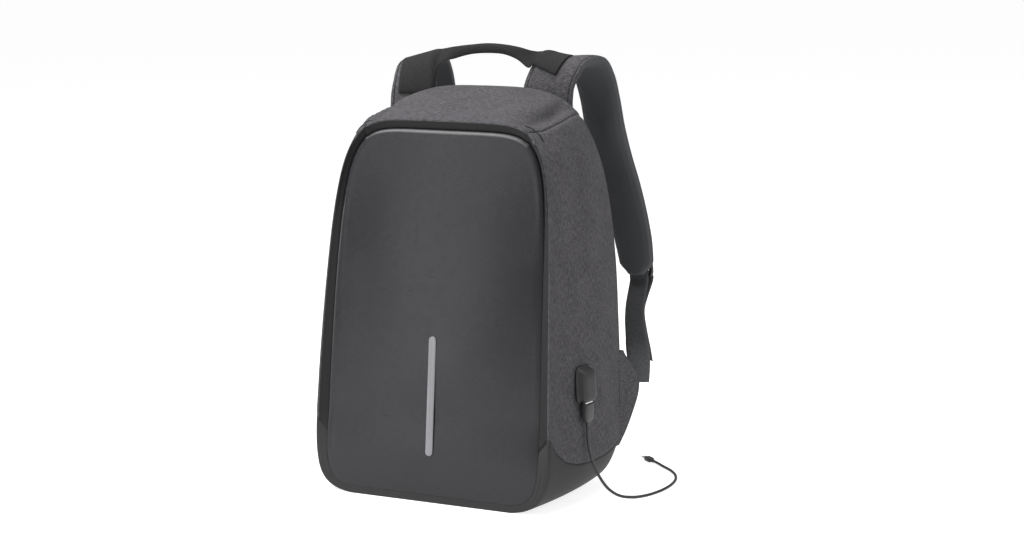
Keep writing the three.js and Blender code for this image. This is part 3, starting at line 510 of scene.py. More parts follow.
def ringAt(share):  # half width, taper, top, floor, and the powers above and below the waist
    share = np.asarray(share, float)
    front, middle, back = bag["frontWidth"], bag["middleWidth"], bag["backWidth"]
    bend = 2 * middle - 0.5 * (front + back)
    width = front * (1 - share) ** 2 + 2 * share * (1 - share) * bend + back * share ** 2
    lift = np.clip((share - bag["liftStart"]) / (1 - bag["liftStart"]), 0, 1)
    top = mix(bag["frontHeight"], bag["ridgeHeight"], 1 - (1 - share) ** bag["topPower"])
    taper = mix(bag["frontTaper"], bag["backTaper"], share)
    upper, lower = (mix(*bag[key], share) for key in ("upperPowers", "lowerPowers"))
    return np.stack([width / 2, taper, top, bag["baseLift"] * lift ** 2, upper, lower], -1)


panelSizes = [bag[key] for key in ("panelTaper", "panelTop", "panelBottom")]
panelRing = np.array([bag["panelWidth"] / 2, *panelSizes, *bag["panelPowers"]])


def upFront(z):  # height as a share of the front's, past 1 at the ridge
    return np.clip(z / bag["frontHeight"], 0, 1.2)


def shrunk(ring, by):
    return ring + np.asarray(by, float)[..., None] * np.array([-1, 0, -1, 1, 0, 0])


def onRing(ring, angle):  # |x / half|^p + |z / reach|^p = 1 about the waist, narrower upwards, cut flat below
    half, taper, top, floor, upper, lower = (ring[..., k, None] for k in range(6))
    across, up = np.cos(angle), np.sin(angle)
    power = np.where(up > 0, upper, lower)
    reach = np.where(up > 0, top - waist, waist - floor + bag["soleRound"])
    radius = (np.abs(across / half) ** power + np.abs(up / reach) ** power) ** (-1 / power)
    z = waist + radius * up
    x = radius * across * (1 - taper * upFront(z) ** bag["taperPower"])
    return x, np.maximum(z, floor)


def angleAt(ring, height):  # right-hand angle where the outline has a height, by halving
    low = np.full(np.shape(ring)[:-1] + (1,), -math.pi / 2)
    high = -low
    goal = np.asarray(height, float)[..., None]
    for _ in range(40):
        middle = (low + high) / 2
        under = onRing(ring, middle)[1] < goal
        low, high = np.where(under, middle, low), np.where(under, high, middle)
    return ((low + high) / 2)[..., 0]


def frontY(z):  # the front leans back by a power of the height
    return -depth / 2 + bag["frontLean"] * upFront(z) ** bag["leanPower"]


def aboveSole(z):  # 0 where the panel runs into the sole
    return smooth((z / waist - bag["soleEnd"]) / bag["soleFade"])


def gutterAt(z):  # depth of the groove beside the panel
    high = smooth((z / bag["frontHeight"] - bag["gutterFrom"]) / bag["gutterFade"])
    return mix(bag["gutterSole"], mix(bag["gutterLow"], bag["gutterTop"], high), aboveSole(z))


net = {  # columns from front to back, rows round the bag; bend is millimetres added for a radian of bend
    "rim": 16, "turned": 4, "front": 7, "middle": 36, "rear": 9, "roll": 7, "zip": 8,
    "base": 120, "side": 70, "top": 84, "fine": 321, "bend": 42,
}


def spread(ring, start, stop, count):  # angles from start to stop, even in length plus bend
    fine = mix(start[:, None], stop[:, None], np.linspace(0, 1, net["fine"])[None])
    x, z = onRing(ring, fine)
    dx, dz = np.diff(x, axis=1), np.diff(z, axis=1)
    heading = np.unwrap(np.arctan2(dz, dx), axis=1)
    first = np.zeros((len(x), 1))
    bend = np.concatenate([first, np.abs(np.diff(heading, axis=1))], axis=1)
    along = np.concatenate([first, np.cumsum(np.hypot(dx, dz) + net["bend"] * bend, axis=1)], axis=1)
    want = np.linspace(0, 1, count + 1)
    return np.stack([np.interp(want * length[-1], length, turn) for length, turn in zip(along, fine)])


seamTable = {  # heights of the seams as shares of the ridge height, by share of the depth
    "depth": [-0.1, 0, 0.075, 0.175, 0.31, 0.5, 0.66, 0.85, 1, 1.1],
    "tongue": [0.155, 0.192, 0.15, 0.123, 0.107, 0.099, 0.098, 0.103, 0.115, 0.135],
    "shoulder": [0.885, 0.914, 0.913, 0.913, 0.92, 0.929, 0.935, 0.938, 0.93, 0.905],
}


def columnTable():  # outline, place, share of the depth, share of the gutter and lip of each column
    join, ones, zeros = np.concatenate, np.ones, np.zeros
    rim = np.linspace(0, 1, net["rim"] + 1)[:-1]
    body = join([np.linspace(0, 0.04, net["front"])[:-1], np.linspace(0.04, 0.8, net["middle"])[:-1],
                 np.linspace(0.8, bag["bodyEnd"], net["rear"])])
    turn = np.linspace(0, math.pi / 2, net["roll"] + 1)[1:]
    inset = np.linspace(0, bag["zipWidth"], net["zip"] + 1)[1:]
    rimRing = mix(panelRing, ringAt(zeros(len(rim))), rim[:, None])
    endRing, backRing = ringAt(bag["bodyEnd"]), shrunk(ringAt(1.0), bag["backRoll"])
    rollRing = mix(endRing, backRing, (1 - np.cos(turn))[:, None])
    zipRing = shrunk(ringAt(ones(len(inset))), bag["backRoll"] + inset)
    lip = bag["lipRoll"] * np.sin(math.pi * np.clip((rim - 0.6) / 0.4, 0, 1))
    behind = zeros(len(body) + len(turn) + len(inset))
    return {
        "ring": join([rimRing, ringAt(body), rollRing, zipRing]),
        "place": join([0.1 * (rim - 1), body, ones(len(turn)), 1 + 0.1 * inset / bag["zipWidth"]]),
        "share": join([zeros(len(rim)), body, mix(bag["bodyEnd"], 1, np.sin(turn)), ones(len(inset))]),
        "gutter": join([(1 - rim) ** 1.2, behind]), "lip": join([lip, behind]),
        "start": len(rim) - net["turned"], "edge": len(rim), "stop": len(rim) + len(body) + len(turn) - 1,
    }


def skinAngles(ring, place):  # rows of the base, the right side, the top and the left side
    height = bag["ridgeHeight"]
    tongue, shoulder = (angleAt(ring, height * np.interp(place, seamTable["depth"], seamTable[seam]))
                        for seam in ("tongue", "shoulder"))
    base = spread(ring, -math.pi - tongue, tongue, net["base"])
    side = spread(ring, tongue, shoulder, net["side"])
    top = spread(ring, shoulder, math.pi - shoulder, net["top"])
    return np.concatenate([part[:, :-1] for part in (base, side, top, math.pi - side[:, ::-1])], axis=1)


def skinPoints(table, angles):  # the outline of each column, placed between the leaning front and the back
    x, z = onRing(table["ring"], angles)
    share, gutter, lip = (table[key][:, None] for key in ("share", "gutter", "lip"))
    y = mix(frontY(z), depth / 2, share) + gutterAt(z) * gutter - lip * aboveSole(z)
    return np.stack([x, y, z], -1)


def outwards(points):  # unit normals of a grid that is closed along j
    steps = unit(np.diff(points, axis=0))
    along = np.concatenate([steps, steps[-1:]]) + np.concatenate([steps[:1], steps])
    around = np.roll(points, -1, axis=1) - np.roll(points, 1, axis=1)
    return unit(np.cross(along, around))


folds = {  # heights, depths, widths and lengths in millimetres
    "seamDeep": 1.3, "seamWide": 1.6, "softDeep": 0.35, "softWide": 1.2, "edgeDeep": 0.7, "edgeWide": 2.4,
    "turnedHigh": 0.6, "turnedAt": 5.5, "turnedWide": 3.2,
    "puckerHigh": 0.34, "puckerLong": 9, "puckerReach": 11, "drift": 2.5, "driftLong": 40,
    "swellTop": 1.3, "swellSide": 0.8, "swellBase": 0.5, "swellLong": 85,
    "crumple": 0.35, "crumpleBase": 0.1, "crumpleLong": 26,
    "calm": 30, "soleCalm": 6, "soleFrom": 4, "soleFade": 36,
}
dent = {
    "ridge": 2.8, "ridgeBelow": 22, "ridgeAbove": 5.5, "sag": 8, "sagAt": 14.5, "sagWide": 9.5,
    "from": 0.04, "over": 0.9, "power": 0.7,
}
sewn = {
    "soleDeep": 0.4, "soleWide": 0.01, "solePlace": -0.055, "soleTop": 60, "soleFade": 30,
    "backDeep": 1.3, "backWide": 1.1, "backPlace": 0.9, "backReach": 34, "backFade": 12, "backEnd": 0.97,
}


def shoulderRelief(share, fromSeam):  # the top cloth sags beside the seam and the side's edge stands up
    middle = np.sin(math.pi * np.clip((share - dent["from"]) / dent["over"], 0, 1))
    strength = np.maximum(middle, 0) ** dent["power"]
    sag = dent["sag"] * bump((fromSeam - dent["sagAt"]) / dent["sagWide"])
    onTop = dent["ridge"] * bump(fromSeam / dent["ridgeAbove"]) - sag
    return strength * np.where(fromSeam < 0, dent["ridge"] * bump(fromSeam / dent["ridgeBelow"]), onTop)


def sewnLines(z, place, onBase, toShoulder):  # one along the sole below the panel, one by the back's top edge
    low = smooth((sewn["soleTop"] - z) / sewn["soleFade"])
    sole = sewn["soleDeep"] * bump((place - sewn["solePlace"]) / sewn["soleWide"]) * low
    near = smooth((sewn["backReach"] - toShoulder) / sewn["backFade"])
    back = sewn["backDeep"] * bump((place - sewn["backPlace"]) * depth / sewn["backWide"]) * near
    return np.where(onBase, sole, back * (place < sewn["backEnd"]))


def puckers(points, toSeam):  # short waves along a seam that fade away from it
    turn = 2 * math.pi * lengthsOf(points, 0) / folds["puckerLong"]
    drift = folds["drift"] * waves(points, folds["driftLong"], 5)
    return folds["puckerHigh"] * np.sin(turn + drift) * np.exp(-toSeam / folds["puckerReach"])


def skinRelief(points, table, marks):  # how far the cloth stands out: seams, folds, swells and crumples added
    place, z = table["place"][:, None], points[..., 2]
    onRight, row = points[..., 0] > 0, np.arange(marks["rows"])[None]
    onTop = (row >= marks["top"]) & (row <= marks["left"])
    onBase = row <= marks["right"]
    cloth = ~onBase & (place > 0) & (place <= 1)

    def toRow(key):
        return np.linalg.norm(points - points[:, marks[key] % marks["rows"]][:, None], axis=-1)

    def toColumn(key):
        return np.linalg.norm(points - points[marks[key]][None], axis=-1)

    toShoulder = np.where(onRight, toRow("top"), toRow("left"))
    toTongue = np.where(onRight, toRow("right"), toRow("rows"))
    toRim, toZip = toColumn("start"), toColumn("stop")
    toNear = np.minimum(toShoulder, toZip)
    relief = np.where(onBase | (place <= 0), 0, shoulderRelief(place, np.where(onTop, 1, -1) * toShoulder))
    for kind, away in (("seam", toNear), ("soft", np.minimum(toRim, toTongue)), ("edge", toColumn("edge"))):
        relief = relief - folds[kind + "Deep"] * bump(away / folds[kind + "Wide"])
    relief = relief + cloth * folds["turnedHigh"] * bump((toNear - folds["turnedAt"]) / folds["turnedWide"])
    relief = relief + cloth * puckers(points, np.minimum(toShoulder, toTongue))
    calm = smooth(toRim / folds["calm"]) * smooth(toZip / folds["calm"])
    calm = calm * (place > 0) * ~(onBase & (z < folds["soleCalm"]))
    swell = np.where(onTop, folds["swellTop"], np.where(onBase, folds["swellBase"], folds["swellSide"]))
    relief = relief + calm * swell * waves(points, folds["swellLong"], 11)
    crumple = np.where(cloth, folds["crumple"], folds["crumpleBase"])
    relief = relief + calm * crumple * waves(points, folds["crumpleLong"], 12)
    relief = relief - sewnLines(z, place, onBase, toShoulder)
    return relief * np.where(onBase, smooth((z - folds["soleFrom"]) / folds["soleFade"]), 1)


def makeSkin():  # the grid of the whole cloth, and the rows and columns of its seams
    table = columnTable()
    angles = skinAngles(table["ring"], table["place"])
    points = skinPoints(table, angles)
    corner = net["base"] + net["side"]
    seams = {"right": net["base"], "top": corner, "left": corner + net["top"], "rows": angles.shape[1],
             **{key: table[key] for key in ("start", "edge", "stop")}}
    placed = points + outwards(points) * skinRelief(points, table, seams)[..., None]
    placed[..., 2] = np.maximum(placed[..., 2], table["ring"][:, None, 3])
    return placed, seams


skin, marks = makeSkin()


def cut(name, finish, columns, rows, wall):  # a cloth piece of the skin, with its wall behind it
    pickI = np.arange(columns[0], columns[1] + 1)
    pickJ = np.arange(rows[0], rows[1] + 1) % marks["rows"]
    piece = surface(name, skin[pickI][:, pickJ], finish)
    thicken(piece, wall)
    return piece


lastColumn = len(skin) - 1
rimColumns = (0, marks["start"])
bodyColumns = (marks["start"], marks["stop"])
rightRows, leftRows = (marks["right"], marks["top"]), (marks["left"], marks["rows"])
topRows, baseRows = (marks["top"], marks["left"]), (0, marks["right"])
upperRows = (marks["right"], marks["rows"])
clothWall = bag["clothWall"]
dress(cut("shaded_rim_cloth", shadedRimCloth, rimColumns, upperRows, bag["rimWall"]), "coated_cloth", "rim_band")
dress(cut("top_cloth", heather, bodyColumns, topRows, clothWall), "heather_cloth", "top_panel")
for side, sideRows in (("right", rightRows), ("left", leftRows)):
    cloth = cut(f"side_cloth_{side}", heather, bodyColumns, sideRows, clothWall)
    dress(cloth, "heather_cloth", f"side_panel_{side}")
dress(cut("base_cloth", darkCloth, (0, lastColumn), baseRows, clothWall), "coated_cloth", "base_panel")
dress(cut("zip_tape", webbing, (marks["stop"], lastColumn), upperRows, clothWall), "zip_tape", "back_zip")
print("skin made")


# Plates: the front panel and the back panel

plate = {
    "pull": 0.65, "middle": 196, "gap": 0.2, "edgeSteps": 9, "faceSteps": 46, "backSteps": 8, "wall": 1,
    "calm": 30.0, "swell": 0.25, "swellLong": 120,
}


def plateGrid(outline, insets, shares, middle):
    # Rings inwards from an outline, first by distance, then by share of the way to the middle
    away = np.stack([-outline[:, 0], np.zeros(len(outline)), (waist - outline[:, 2]) * plate["pull"]], -1)
    near = outline[None] + unit(away)[None] * np.asarray(insets, float)[:, None, None]
    centre = np.array([0, 0, middle])
    far = mix(near[-1][None], centre, np.asarray(shares, float)[:, None, None])
    return np.concatenate([near, far])


def panelFace(x, z):  # the leaning front, sunk by the recess and crowned by a parabola times a sine
    across = np.clip(1 - (2 * x / bag["panelWidth"]) ** 2, 0, 1)
    up = np.sin(math.pi * np.clip(z / bag["panelTop"], 0, 1))
    recess = mix(bag["soleRecess"], bag["panelRecess"], aboveSole(z))
    return frontY(z) + recess - bag["panelCrown"] * across * up


def makeFrontPanel():  # rings of the outline: up a rounded edge from the groove, then over the face
    turn = np.linspace(0, math.pi / 2, plate["edgeSteps"])
    insets = plate["gap"] + bag["panelEdge"] * (1 - np.cos(turn))
    shares = np.linspace(0, 1, plate["faceSteps"])[1:-1]
    rings = plateGrid(skin[0], insets, shares, plate["middle"])
    x, z = rings[..., 0], rings[..., 2]
    up = np.concatenate([np.sin(turn), np.ones(len(shares))])[:, None]
    y = mix(frontY(z) + gutterAt(z), panelFace(x, z), up)
    away = np.concatenate([insets - plate["gap"], np.full(len(shares), plate["calm"])]) / plate["calm"]
    y = y + plate["swell"] * smooth(away)[:, None] * waves(rings, plate["swellLong"], 21)
    back = plateGrid(skin[0], [plate["gap"]], np.linspace(0, 1, plate["backSteps"])[1:-1], plate["middle"])
    back[..., 1] = frontY(back[..., 2]) + gutterAt(back[..., 2]) + plate["wall"]
    return loft("front_shell", np.concatenate([back[::-1], np.stack([x, y, z], -1)]), frontCloth)


dress(makeFrontPanel(), "front_cloth", "front_panel")

stripLook = {"width": 8.0, "low": 49.0, "high": 171.5, "thick": 0.8, "gap": 0.45, "edge": 0.5}


def makeStrip():  # a long lozenge with round ends and a softened edge
    look = stripLook
    half = look["width"] / 2
    turn = np.linspace(0, 2 * math.pi, 120, endpoint=False)
    spine = np.where(np.sin(turn) > 0, look["high"] - half, look["low"] + half)
    x, z = half * np.cos(turn), spine + half * np.sin(turn)
    layers = [(0.05, 0), (0.6, 0), (1, 0), (1, 0.6), (1 - look["edge"] / half, 1), (0.5, 1), (0.05, 1)]
    rings = []
    for size, lift in layers:
        high = mix(spine, z, size)
        face = panelFace(x * size, high) - look["gap"] - lift * look["thick"]
        rings.append(np.stack([x * size, face, high], -1))
    return loft("reflective_film", rings, film)


dress(makeStrip(), "reflective_film", "reflective_strip")

padLook = {
    "crown": 6.0, "gap": 0.3, "middle": 200, "edge": 30, "edgeSteps": 16, "faceSteps": 60, "backSteps": 8,
    "behind": 1.9, "channels": (110, 190, 270, 350), "slant": 0.55, "channel": 2.6, "channelWide": 5.5,
    "spine": 15.0, "swell": 1.6, "border": 14, "borderFade": 8,
    "seamDeep": 0.9, "seamAt": 13, "seamWide": 1.8,
}


def makeBackPanel():  # a crowned plate with a stitched border; slanted channels and a spine are sunk into it
    look = padLook
    insets = np.concatenate([[look["gap"]], np.linspace(1.2, look["edge"], look["edgeSteps"])])
    shares = np.linspace(0, 1, look["faceSteps"])[1:-1]
    rings = plateGrid(skin[-1], insets, shares, look["middle"])
    x, z = rings[..., 0], rings[..., 2]
    reach = np.concatenate([insets, np.full(len(shares), 2.0 * look["edge"])])[:, None]
    spine = bump(x / look["spine"])
    slant = z + look["slant"] * np.abs(x)
    channels = sum(bump((slant - place) / look["channelWide"]) for place in look["channels"])
    inside = smooth((reach - look["border"]) / look["borderFade"])
    y = depth / 2 + look["crown"] * smooth(reach / look["edge"])
    y = y + inside * look["swell"] * (1 - np.clip(channels, 0, 1)) * (1 - spine)
    y = y - inside * look["channel"] * np.maximum(channels * 0.8 * (1 - spine), spine)
    y = y - look["seamDeep"] * bump((reach - look["seamAt"]) / look["seamWide"])
    back = plateGrid(skin[-1], [look["gap"]], np.linspace(0, 1, look["backSteps"])[1:-1], look["middle"])
    back[..., 1] = depth / 2 - look["behind"]
    return loft("back_pad", np.concatenate([back[::-1], np.stack([x, y, z], -1)]), paddedMesh)


backPad = dress(makeBackPanel(), "padded_mesh", "back_panel")
print("plates made")


# Shoulder straps

strap = {
    "width": 58.0, "pad": 10.0, "cover": 1.6, "top": 446.0, "end": 210.5, "reach": 68.0, "rootGap": 3.0,
    "root": 384.0, "gap": 0.33, "lockShare": 0.945, "endNarrow": 0.34, "endLong": 0.06,
}
strapFront = depth / 2 + strap["rootGap"] + strap["cover"] + strap["gap"] / 2
crest = 5  # row at the top; heights are shares between root and top before it, between end and top after it
lowRows = [
    (0.785, 1.04, 0.413, 0.89, -18, 0), (0.845, 1.03, 0.28, 0.87, -18, 0), (0.89, 1.02, 0.157, 0.84, -18, 0),
    (0.915, 1.01, 0.063, 0.76, -18, 0), (0.925, 1, 0, 0.5, -18, 0),
]
routes = {  # out, back, up, wide as shares; turn and tilt of the width in degrees
    "right": [
        (0.4, 0, 0, 1.04, 0, 0), (0.405, 0, 0.317, 1, 0, 0), (0.425, 0.03, 0.604, 0.95, 0, 0),
        (0.46, 0.1, 0.82, 0.93, 0, 0), (0.5, 0.22, 0.964, 0.95, 0, 0), (0.545, 0.42, 1, 0.93, 0, 0),
        (0.585, 0.63, 0.981, 0.87, -2, 0), (0.615, 0.82, 0.915, 0.83, -5, 0),
        (0.64, 0.94, 0.811, 0.83, -9, 0), (0.67, 1, 0.678, 0.86, -13, 0), (0.72, 1.03, 0.545, 0.88, -16, 0),
        *lowRows,
    ],
    "left": [
        (0.61, 0, 0, 1, 0, 0), (0.61, 0, 0.317, 0.96, 0, -4), (0.613, 0.03, 0.568, 0.88, 0, -9),
        (0.62, 0.1, 0.763, 0.85, 0, -14), (0.628, 0.22, 0.899, 0.85, 0, -16),
        (0.636, 0.42, 0.942, 0.86, 0, -14), (0.643, 0.63, 0.968, 0.88, -2, -10),
        (0.65, 0.82, 0.905, 0.9, -5, -6), (0.657, 0.94, 0.811, 0.91, -9, -2),
        (0.675, 1, 0.678, 0.92, -13, 0), (0.72, 1.03, 0.545, 0.9, -16, 0), *lowRows,
    ],
}
hands = {"right": 1, "left": -1}


def strapCourse(side):  # at shares of the length: middle, tangent, way of the width, outer face, half width
    rows = np.array(routes[side])
    hand = hands[side]
    last = len(rows) - 1
    index = np.arange(last + 1)
    height = mix(np.where(index > crest, strap["end"], strap["root"]), strap["top"], rows[:, 2])
    out, back = hand * rows[:, 0] * bag["backWidth"] / 2, strapFront + rows[:, 1] * strap["reach"]
    at = curveThrough(np.stack([out, back, height], -1))

    def course(share):
        u = np.clip(np.asarray(share, float), 0, 1) * last
        middle, along = at(u), courseOf(at, np.clip(u, 1e-3, last - 1e-3))
        turn, tilt = (np.radians(np.interp(u, index, rows[:, k])) for k in (4, 5))
        wide = np.stack([hand * np.cos(turn) * np.cos(tilt), np.sin(turn) * np.cos(tilt), np.sin(tilt)], -1)
        wide = unit(wide - along * np.sum(wide * along, -1, keepdims=True))
        outer = unit(np.cross(wide, along)) * hand
        return middle, along, wide, outer, np.interp(u, index, rows[:, 3]) * strap["width"] / 2

    return course


courses = {side: strapCourse(side) for side in hands}


def strapGrid(side, across, out, shares):  # across as share of the half width, out in mm, both along j
    middle, _, wide, outer, half = courses[side](shares)
    half = half * (1 - strap["endNarrow"] * smooth((shares - 1) / strap["endLong"] + 1))
    lateral = np.broadcast_to(across, (len(shares), np.shape(across)[-1])) * half[:, None]
    lift = np.broadcast_to(out, lateral.shape)
    return middle[:, None] + wide[:, None] * lateral[..., None] + outer[:, None] * lift[..., None]


foam = {
    "across": 25, "along": 150, "power": 0.42, "deep": 0.97, "wide": 0.985, "flat": 0.93, "swell": 0.5,
    "swellLong": 45, "seamHigh": 1.2, "seamAt": 0.11, "seamWide": 0.03, "close": 0.65,
}
cover = {
    "across": 29, "wide": 0.965, "drop": 0.8, "power": 6, "lift": 0.35, "swell": 0.45, "swellLong": 38,
    "seamDeep": 0.7, "seamAt": 0.84, "seamWide": 0.03,
    "wrap": (0.97, 0.985, 0.96), "wrapOut": (-0.6, -1.9, -2.2),
}
stitches = {"from": 0.01, "to": 0.955, "count": 120, "inset": 0.84, "sunk": 0.2, "size": (2.6, 0.7, 0.7)}
tack = {"columns": 8, "rows": 8, "reach": 12.5, "gap": 2.5, "count": 6, "size": (2.6, 1.3, 1.2), "lift": 0.5}


def makeFoam(side, shares):  # sine to a low power below a flat face, with a raised seam along both edges
    turn = np.linspace(0, math.pi, foam["across"])
    across = -np.cos(turn)
    deep = np.sin(turn) ** foam["power"]
    grain = waves(strapGrid(side, across, 0.0, shares), foam["swellLong"], 31)
    edge = np.clip(1 - np.abs(across), 0, 1)
    seam = foam["seamHigh"] * bump((edge - foam["seamAt"]) / foam["seamWide"])
    lower = -strap["gap"] / 2 - strap["pad"] * deep * foam["deep"] + foam["swell"] * grain * edge + seam
    flat = np.linspace(foam["flat"], -foam["flat"], 9)[1:-1]
    section = np.concatenate([across * foam["wide"], flat])
    out = np.concatenate([lower, np.full((len(shares), len(flat)), -strap["gap"] / 2)], axis=1)
    ends = 1 - foam["close"] * (bump((shares - 1) / 0.006) + bump(shares / 0.004))[:, None]
    pad = loft(f"strap_foam_{side}", strapGrid(side, section, out * ends, shares), paddedMesh)
    dress(pad, "padded_mesh", f"strap_pad_{side}")


def makeCover(side, shares):  # 1 - |s|^power across, a seam near both edges, and the edges wrapped round
    crown = np.linspace(-1, 1, cover["across"])
    seam = cover["seamDeep"] * bump((np.abs(crown) - cover["seamAt"]) / cover["seamWide"])
    high = strap["cover"] * (1 - np.abs(crown) ** cover["power"] * cover["drop"]) - seam
    slow = waves(strapGrid(side, crown, 0.0, shares), cover["swellLong"], 33)
    high = high + cover["swell"] * slow * (1 - crown ** 4) + cover["lift"]
    wrap, wrapOut = np.array(cover["wrap"]), np.array(cover["wrapOut"])
    section = np.concatenate([crown * cover["wide"], wrap, -wrap[::-1]])
    edges = np.tile(np.concatenate([wrapOut, wrapOut[::-1]]), (len(shares), 1))
    out = np.concatenate([high, edges], axis=1)
    cloth = loft(f"strap_cloth_{side}", strapGrid(side, section, out, shares), heather)
    dress(cloth, "heather_cloth", f"strap_cover_{side}")


def makeStitches(side):  # small stitches along both edges of a strap's cover
    shares = np.linspace(stitches["from"], stitches["to"], stitches["count"])
    middle, along, wide, outer, half = courses[side](shares)
    high = outer * (strap["cover"] - stitches["sunk"])
    places = [middle + wide * (edge * stitches["inset"] * half)[:, None] + high for edge in (-1, 1)]
    ways, acrosses = np.tile(along, (2, 1)), np.tile(wide, (2, 1))
    name = f"strap_stitches_{side}"
    dress(many(name, np.concatenate(places), ways, acrosses, stitches["size"], thread), "webbing")


def makeTack(side):  # two short rows of stitches that cross the shoulder seam beside the rim
    seam = marks["top"] if side == "right" else marks["left"]
    column = marks["edge"] + tack["columns"]
    rows = np.arange(seam - tack["rows"], seam + tack["rows"] + 1)
    line = skin[column][rows]
    length = lengthsOf(line[None], 1)[0]
    length = length - length[tack["rows"]]
    steps = np.linspace(tack["gap"], tack["reach"], tack["count"])
    at = np.concatenate([-steps[::-1], steps])
    places = np.stack([np.interp(at, length, line[:, k]) for k in range(3)], -1)
    ways = unit(np.gradient(places, axis=0))
    ahead = unit(skin[column + 1][rows] - line)
    across = np.stack([np.interp(at, length, ahead[:, k]) for k in range(3)], -1)
    across = unit(across - ways * np.sum(across * ways, -1, keepdims=True))
    out = np.cross(ways, across)
    out = out * np.sign(np.sum(out * (places - [0, 0, waist]), -1, keepdims=True))
    dress(many(f"tack_{side}", places + out * tack["lift"], ways, across, tack["size"], shadedRimCloth), "webbing")


for side in hands:
    strapShares = np.linspace(0, 1, foam["along"])
    makeFoam(side, strapShares)
    makeCover(side, strapShares)
    makeStitches(side)
    makeTack(side)
print("straps made")


# Carry handle: a flat web sewn to both straps, closed round a cord in the middle

handle = {
    "web": 24.0, "thick": 2.2, "gripHigh": 10.5, "gripDeep": 8.0, "rise": 13.5, "slope": 0.7, "narrow": 0.75,
    "from": {"right": 5 / 30, "left": 2 / 30}, "to": 9 / 30, "across": 13, "along": 150,
    "left": (0.6, 0, -0.5, -0.9), "right": (-0.9, -0.55, -0.2, 0.15),
    "route": [  # across, back, up as shares; how round the grip is
        (-0.42, 0.13, 0.966, 0.2), (-0.31, 0.12, 0.977, 0.75), (-0.19, 0.12, 0.985, 1),
        (-0.06, 0.12, 0.989, 1), (0.07, 0.12, 0.987, 1), (0.17, 0.12, 0.979, 0.75), (0.26, 0.13, 0.966, 0.2),
    ],
}


def sewnSection(side, across, count):  # the web where it lies on a strap's cover, its width along the strap
    shares = np.linspace(handle["from"][side], handle["to"], count)
    middle, _, wide, outer, half = courses[side](shares)
    lift = strap["gap"] / 2 + strap["cover"] + 2 * strap["gap"]
    base = middle + wide * (across * half)[:, None]
    rounded = 1 - 0.5 * np.abs(np.linspace(-1, 1, count)) ** 8
    low = base + outer * lift
    high = base + outer * (lift + handle["thick"] * rounded)[:, None]
    return np.concatenate([low, high[::-1]])


def gripSection(row, count):  # two halves whose depth goes from a flat web's to an ellipse's as it closes
    across, back, up, closed = row
    top = strap["top"] + handle["rise"]
    middle = np.array([across * bag["backWidth"] / 2, strapFront + back * strap["reach"], up * top])
    high = mix(handle["web"], handle["gripHigh"], closed) / 2
    deep = mix(handle["thick"], handle["gripDeep"], closed) / 2
    slope = mix(handle["slope"], 0, closed)
    height = -np.cos(math.pi * np.linspace(0, 1, count))
    bulge = mix(1, np.sqrt(np.maximum(1 - (0.93 * height) ** 2, 0)), closed)
    narrow = mix(handle["narrow"], 1, closed)
    faces = []
    for hand in (1, -1):
        y = hand * deep * bulge + slope * height * high
        faces.append(np.stack([0 * y, y, height * high * narrow], -1)[::hand])
    return middle + np.concatenate(faces)


def makeHandle():  # sections from strap to strap, joined by one curve through all their corners
    count = handle["across"]
    left, right = ([sewnSection(side, share, count) for share in handle[side]] for side in ("left", "right"))
    stations = np.stack(left + [gripSection(row, count) for row in handle["route"]] + right)
    flat = curveThrough(stations.reshape(len(stations), -1))
    u = np.linspace(0, len(stations) - 1, handle["along"])
    grid = flat(u).reshape(len(u), 2 * count, 3)
    dress(loft("shaded_handle_web", grid, shadedHandleWeb), "webbing", "carry_handle")


makeHandle()
print("handle made")


# Web through the adjusters

web = {
    "width": 25.0, "thick": 1.8, "lockWidth": 33.0, "lockLength": 30.0, "lockThick": 4.0, "bar": 4.5,
    "straight": 4.0, "cut": 14.0, "frameSteps": 72, "framePower": 0.28, "barSteps": 16, "barPower": 0.6,
    "fixed": [(1.025, 0.515, 0.48, 50), (1.018, 0.56, 0.575, 42), (0.976, 0.675, 0.707, -6),
              (0.937, 0.835, 0.833, -18)],
    "tail": [(0.922, 0.945, 0.828, -18), (0.958, 0.834, 0.701, -8), (0.996, 0.756, 0.596, 14)],
}
lockLift = strap["gap"] / 2 + strap["cover"] + strap["gap"]
barMiddle = web["lockLength"] / 2 - web["bar"] / 2
hairpin = math.hypot(web["bar"], web["lockThick"]) / 2 + strap["gap"] + web["thick"] / 2 + 0.2


def lockPlace(side):
    middle, along, wide, outer, _ = (value[0] for value in courses[side](np.array([strap["lockShare"]])))
    return middle, along, wide, outer


def webStations(side):  # places and ways of the width: from the corner, round the adjuster's bar, to the tail
    hand = hands[side]
    middle, along, wide, outer = lockPlace(side)
    stations = []

    def free(row):
        turn = math.radians(row[3])
        out, back = hand * row[0] * bag["backWidth"] / 2, depth / 2 + row[1] * strap["reach"]
        place = np.array([out, back, row[2] * strap["end"]])
        stations.append((place, np.array([hand * math.cos(turn), math.sin(turn), 0])))

    def atLock(far, out):
        stations.append((middle + along * far + outer * out, wide))

    centre = lockLift + web["lockThick"] / 2
    for row in web["fixed"]:
        free(row)
    atLock(barMiddle + web["straight"], centre - hairpin)
    for turn in np.radians([0, 45, 90, 135, 180]):
        atLock(barMiddle - hairpin * math.sin(turn), centre - hairpin * math.cos(turn))
    atLock(barMiddle + web["straight"], centre + hairpin)
    for row in web["tail"]:
        free(row)
    return [np.array(values) for values in zip(*stations)]


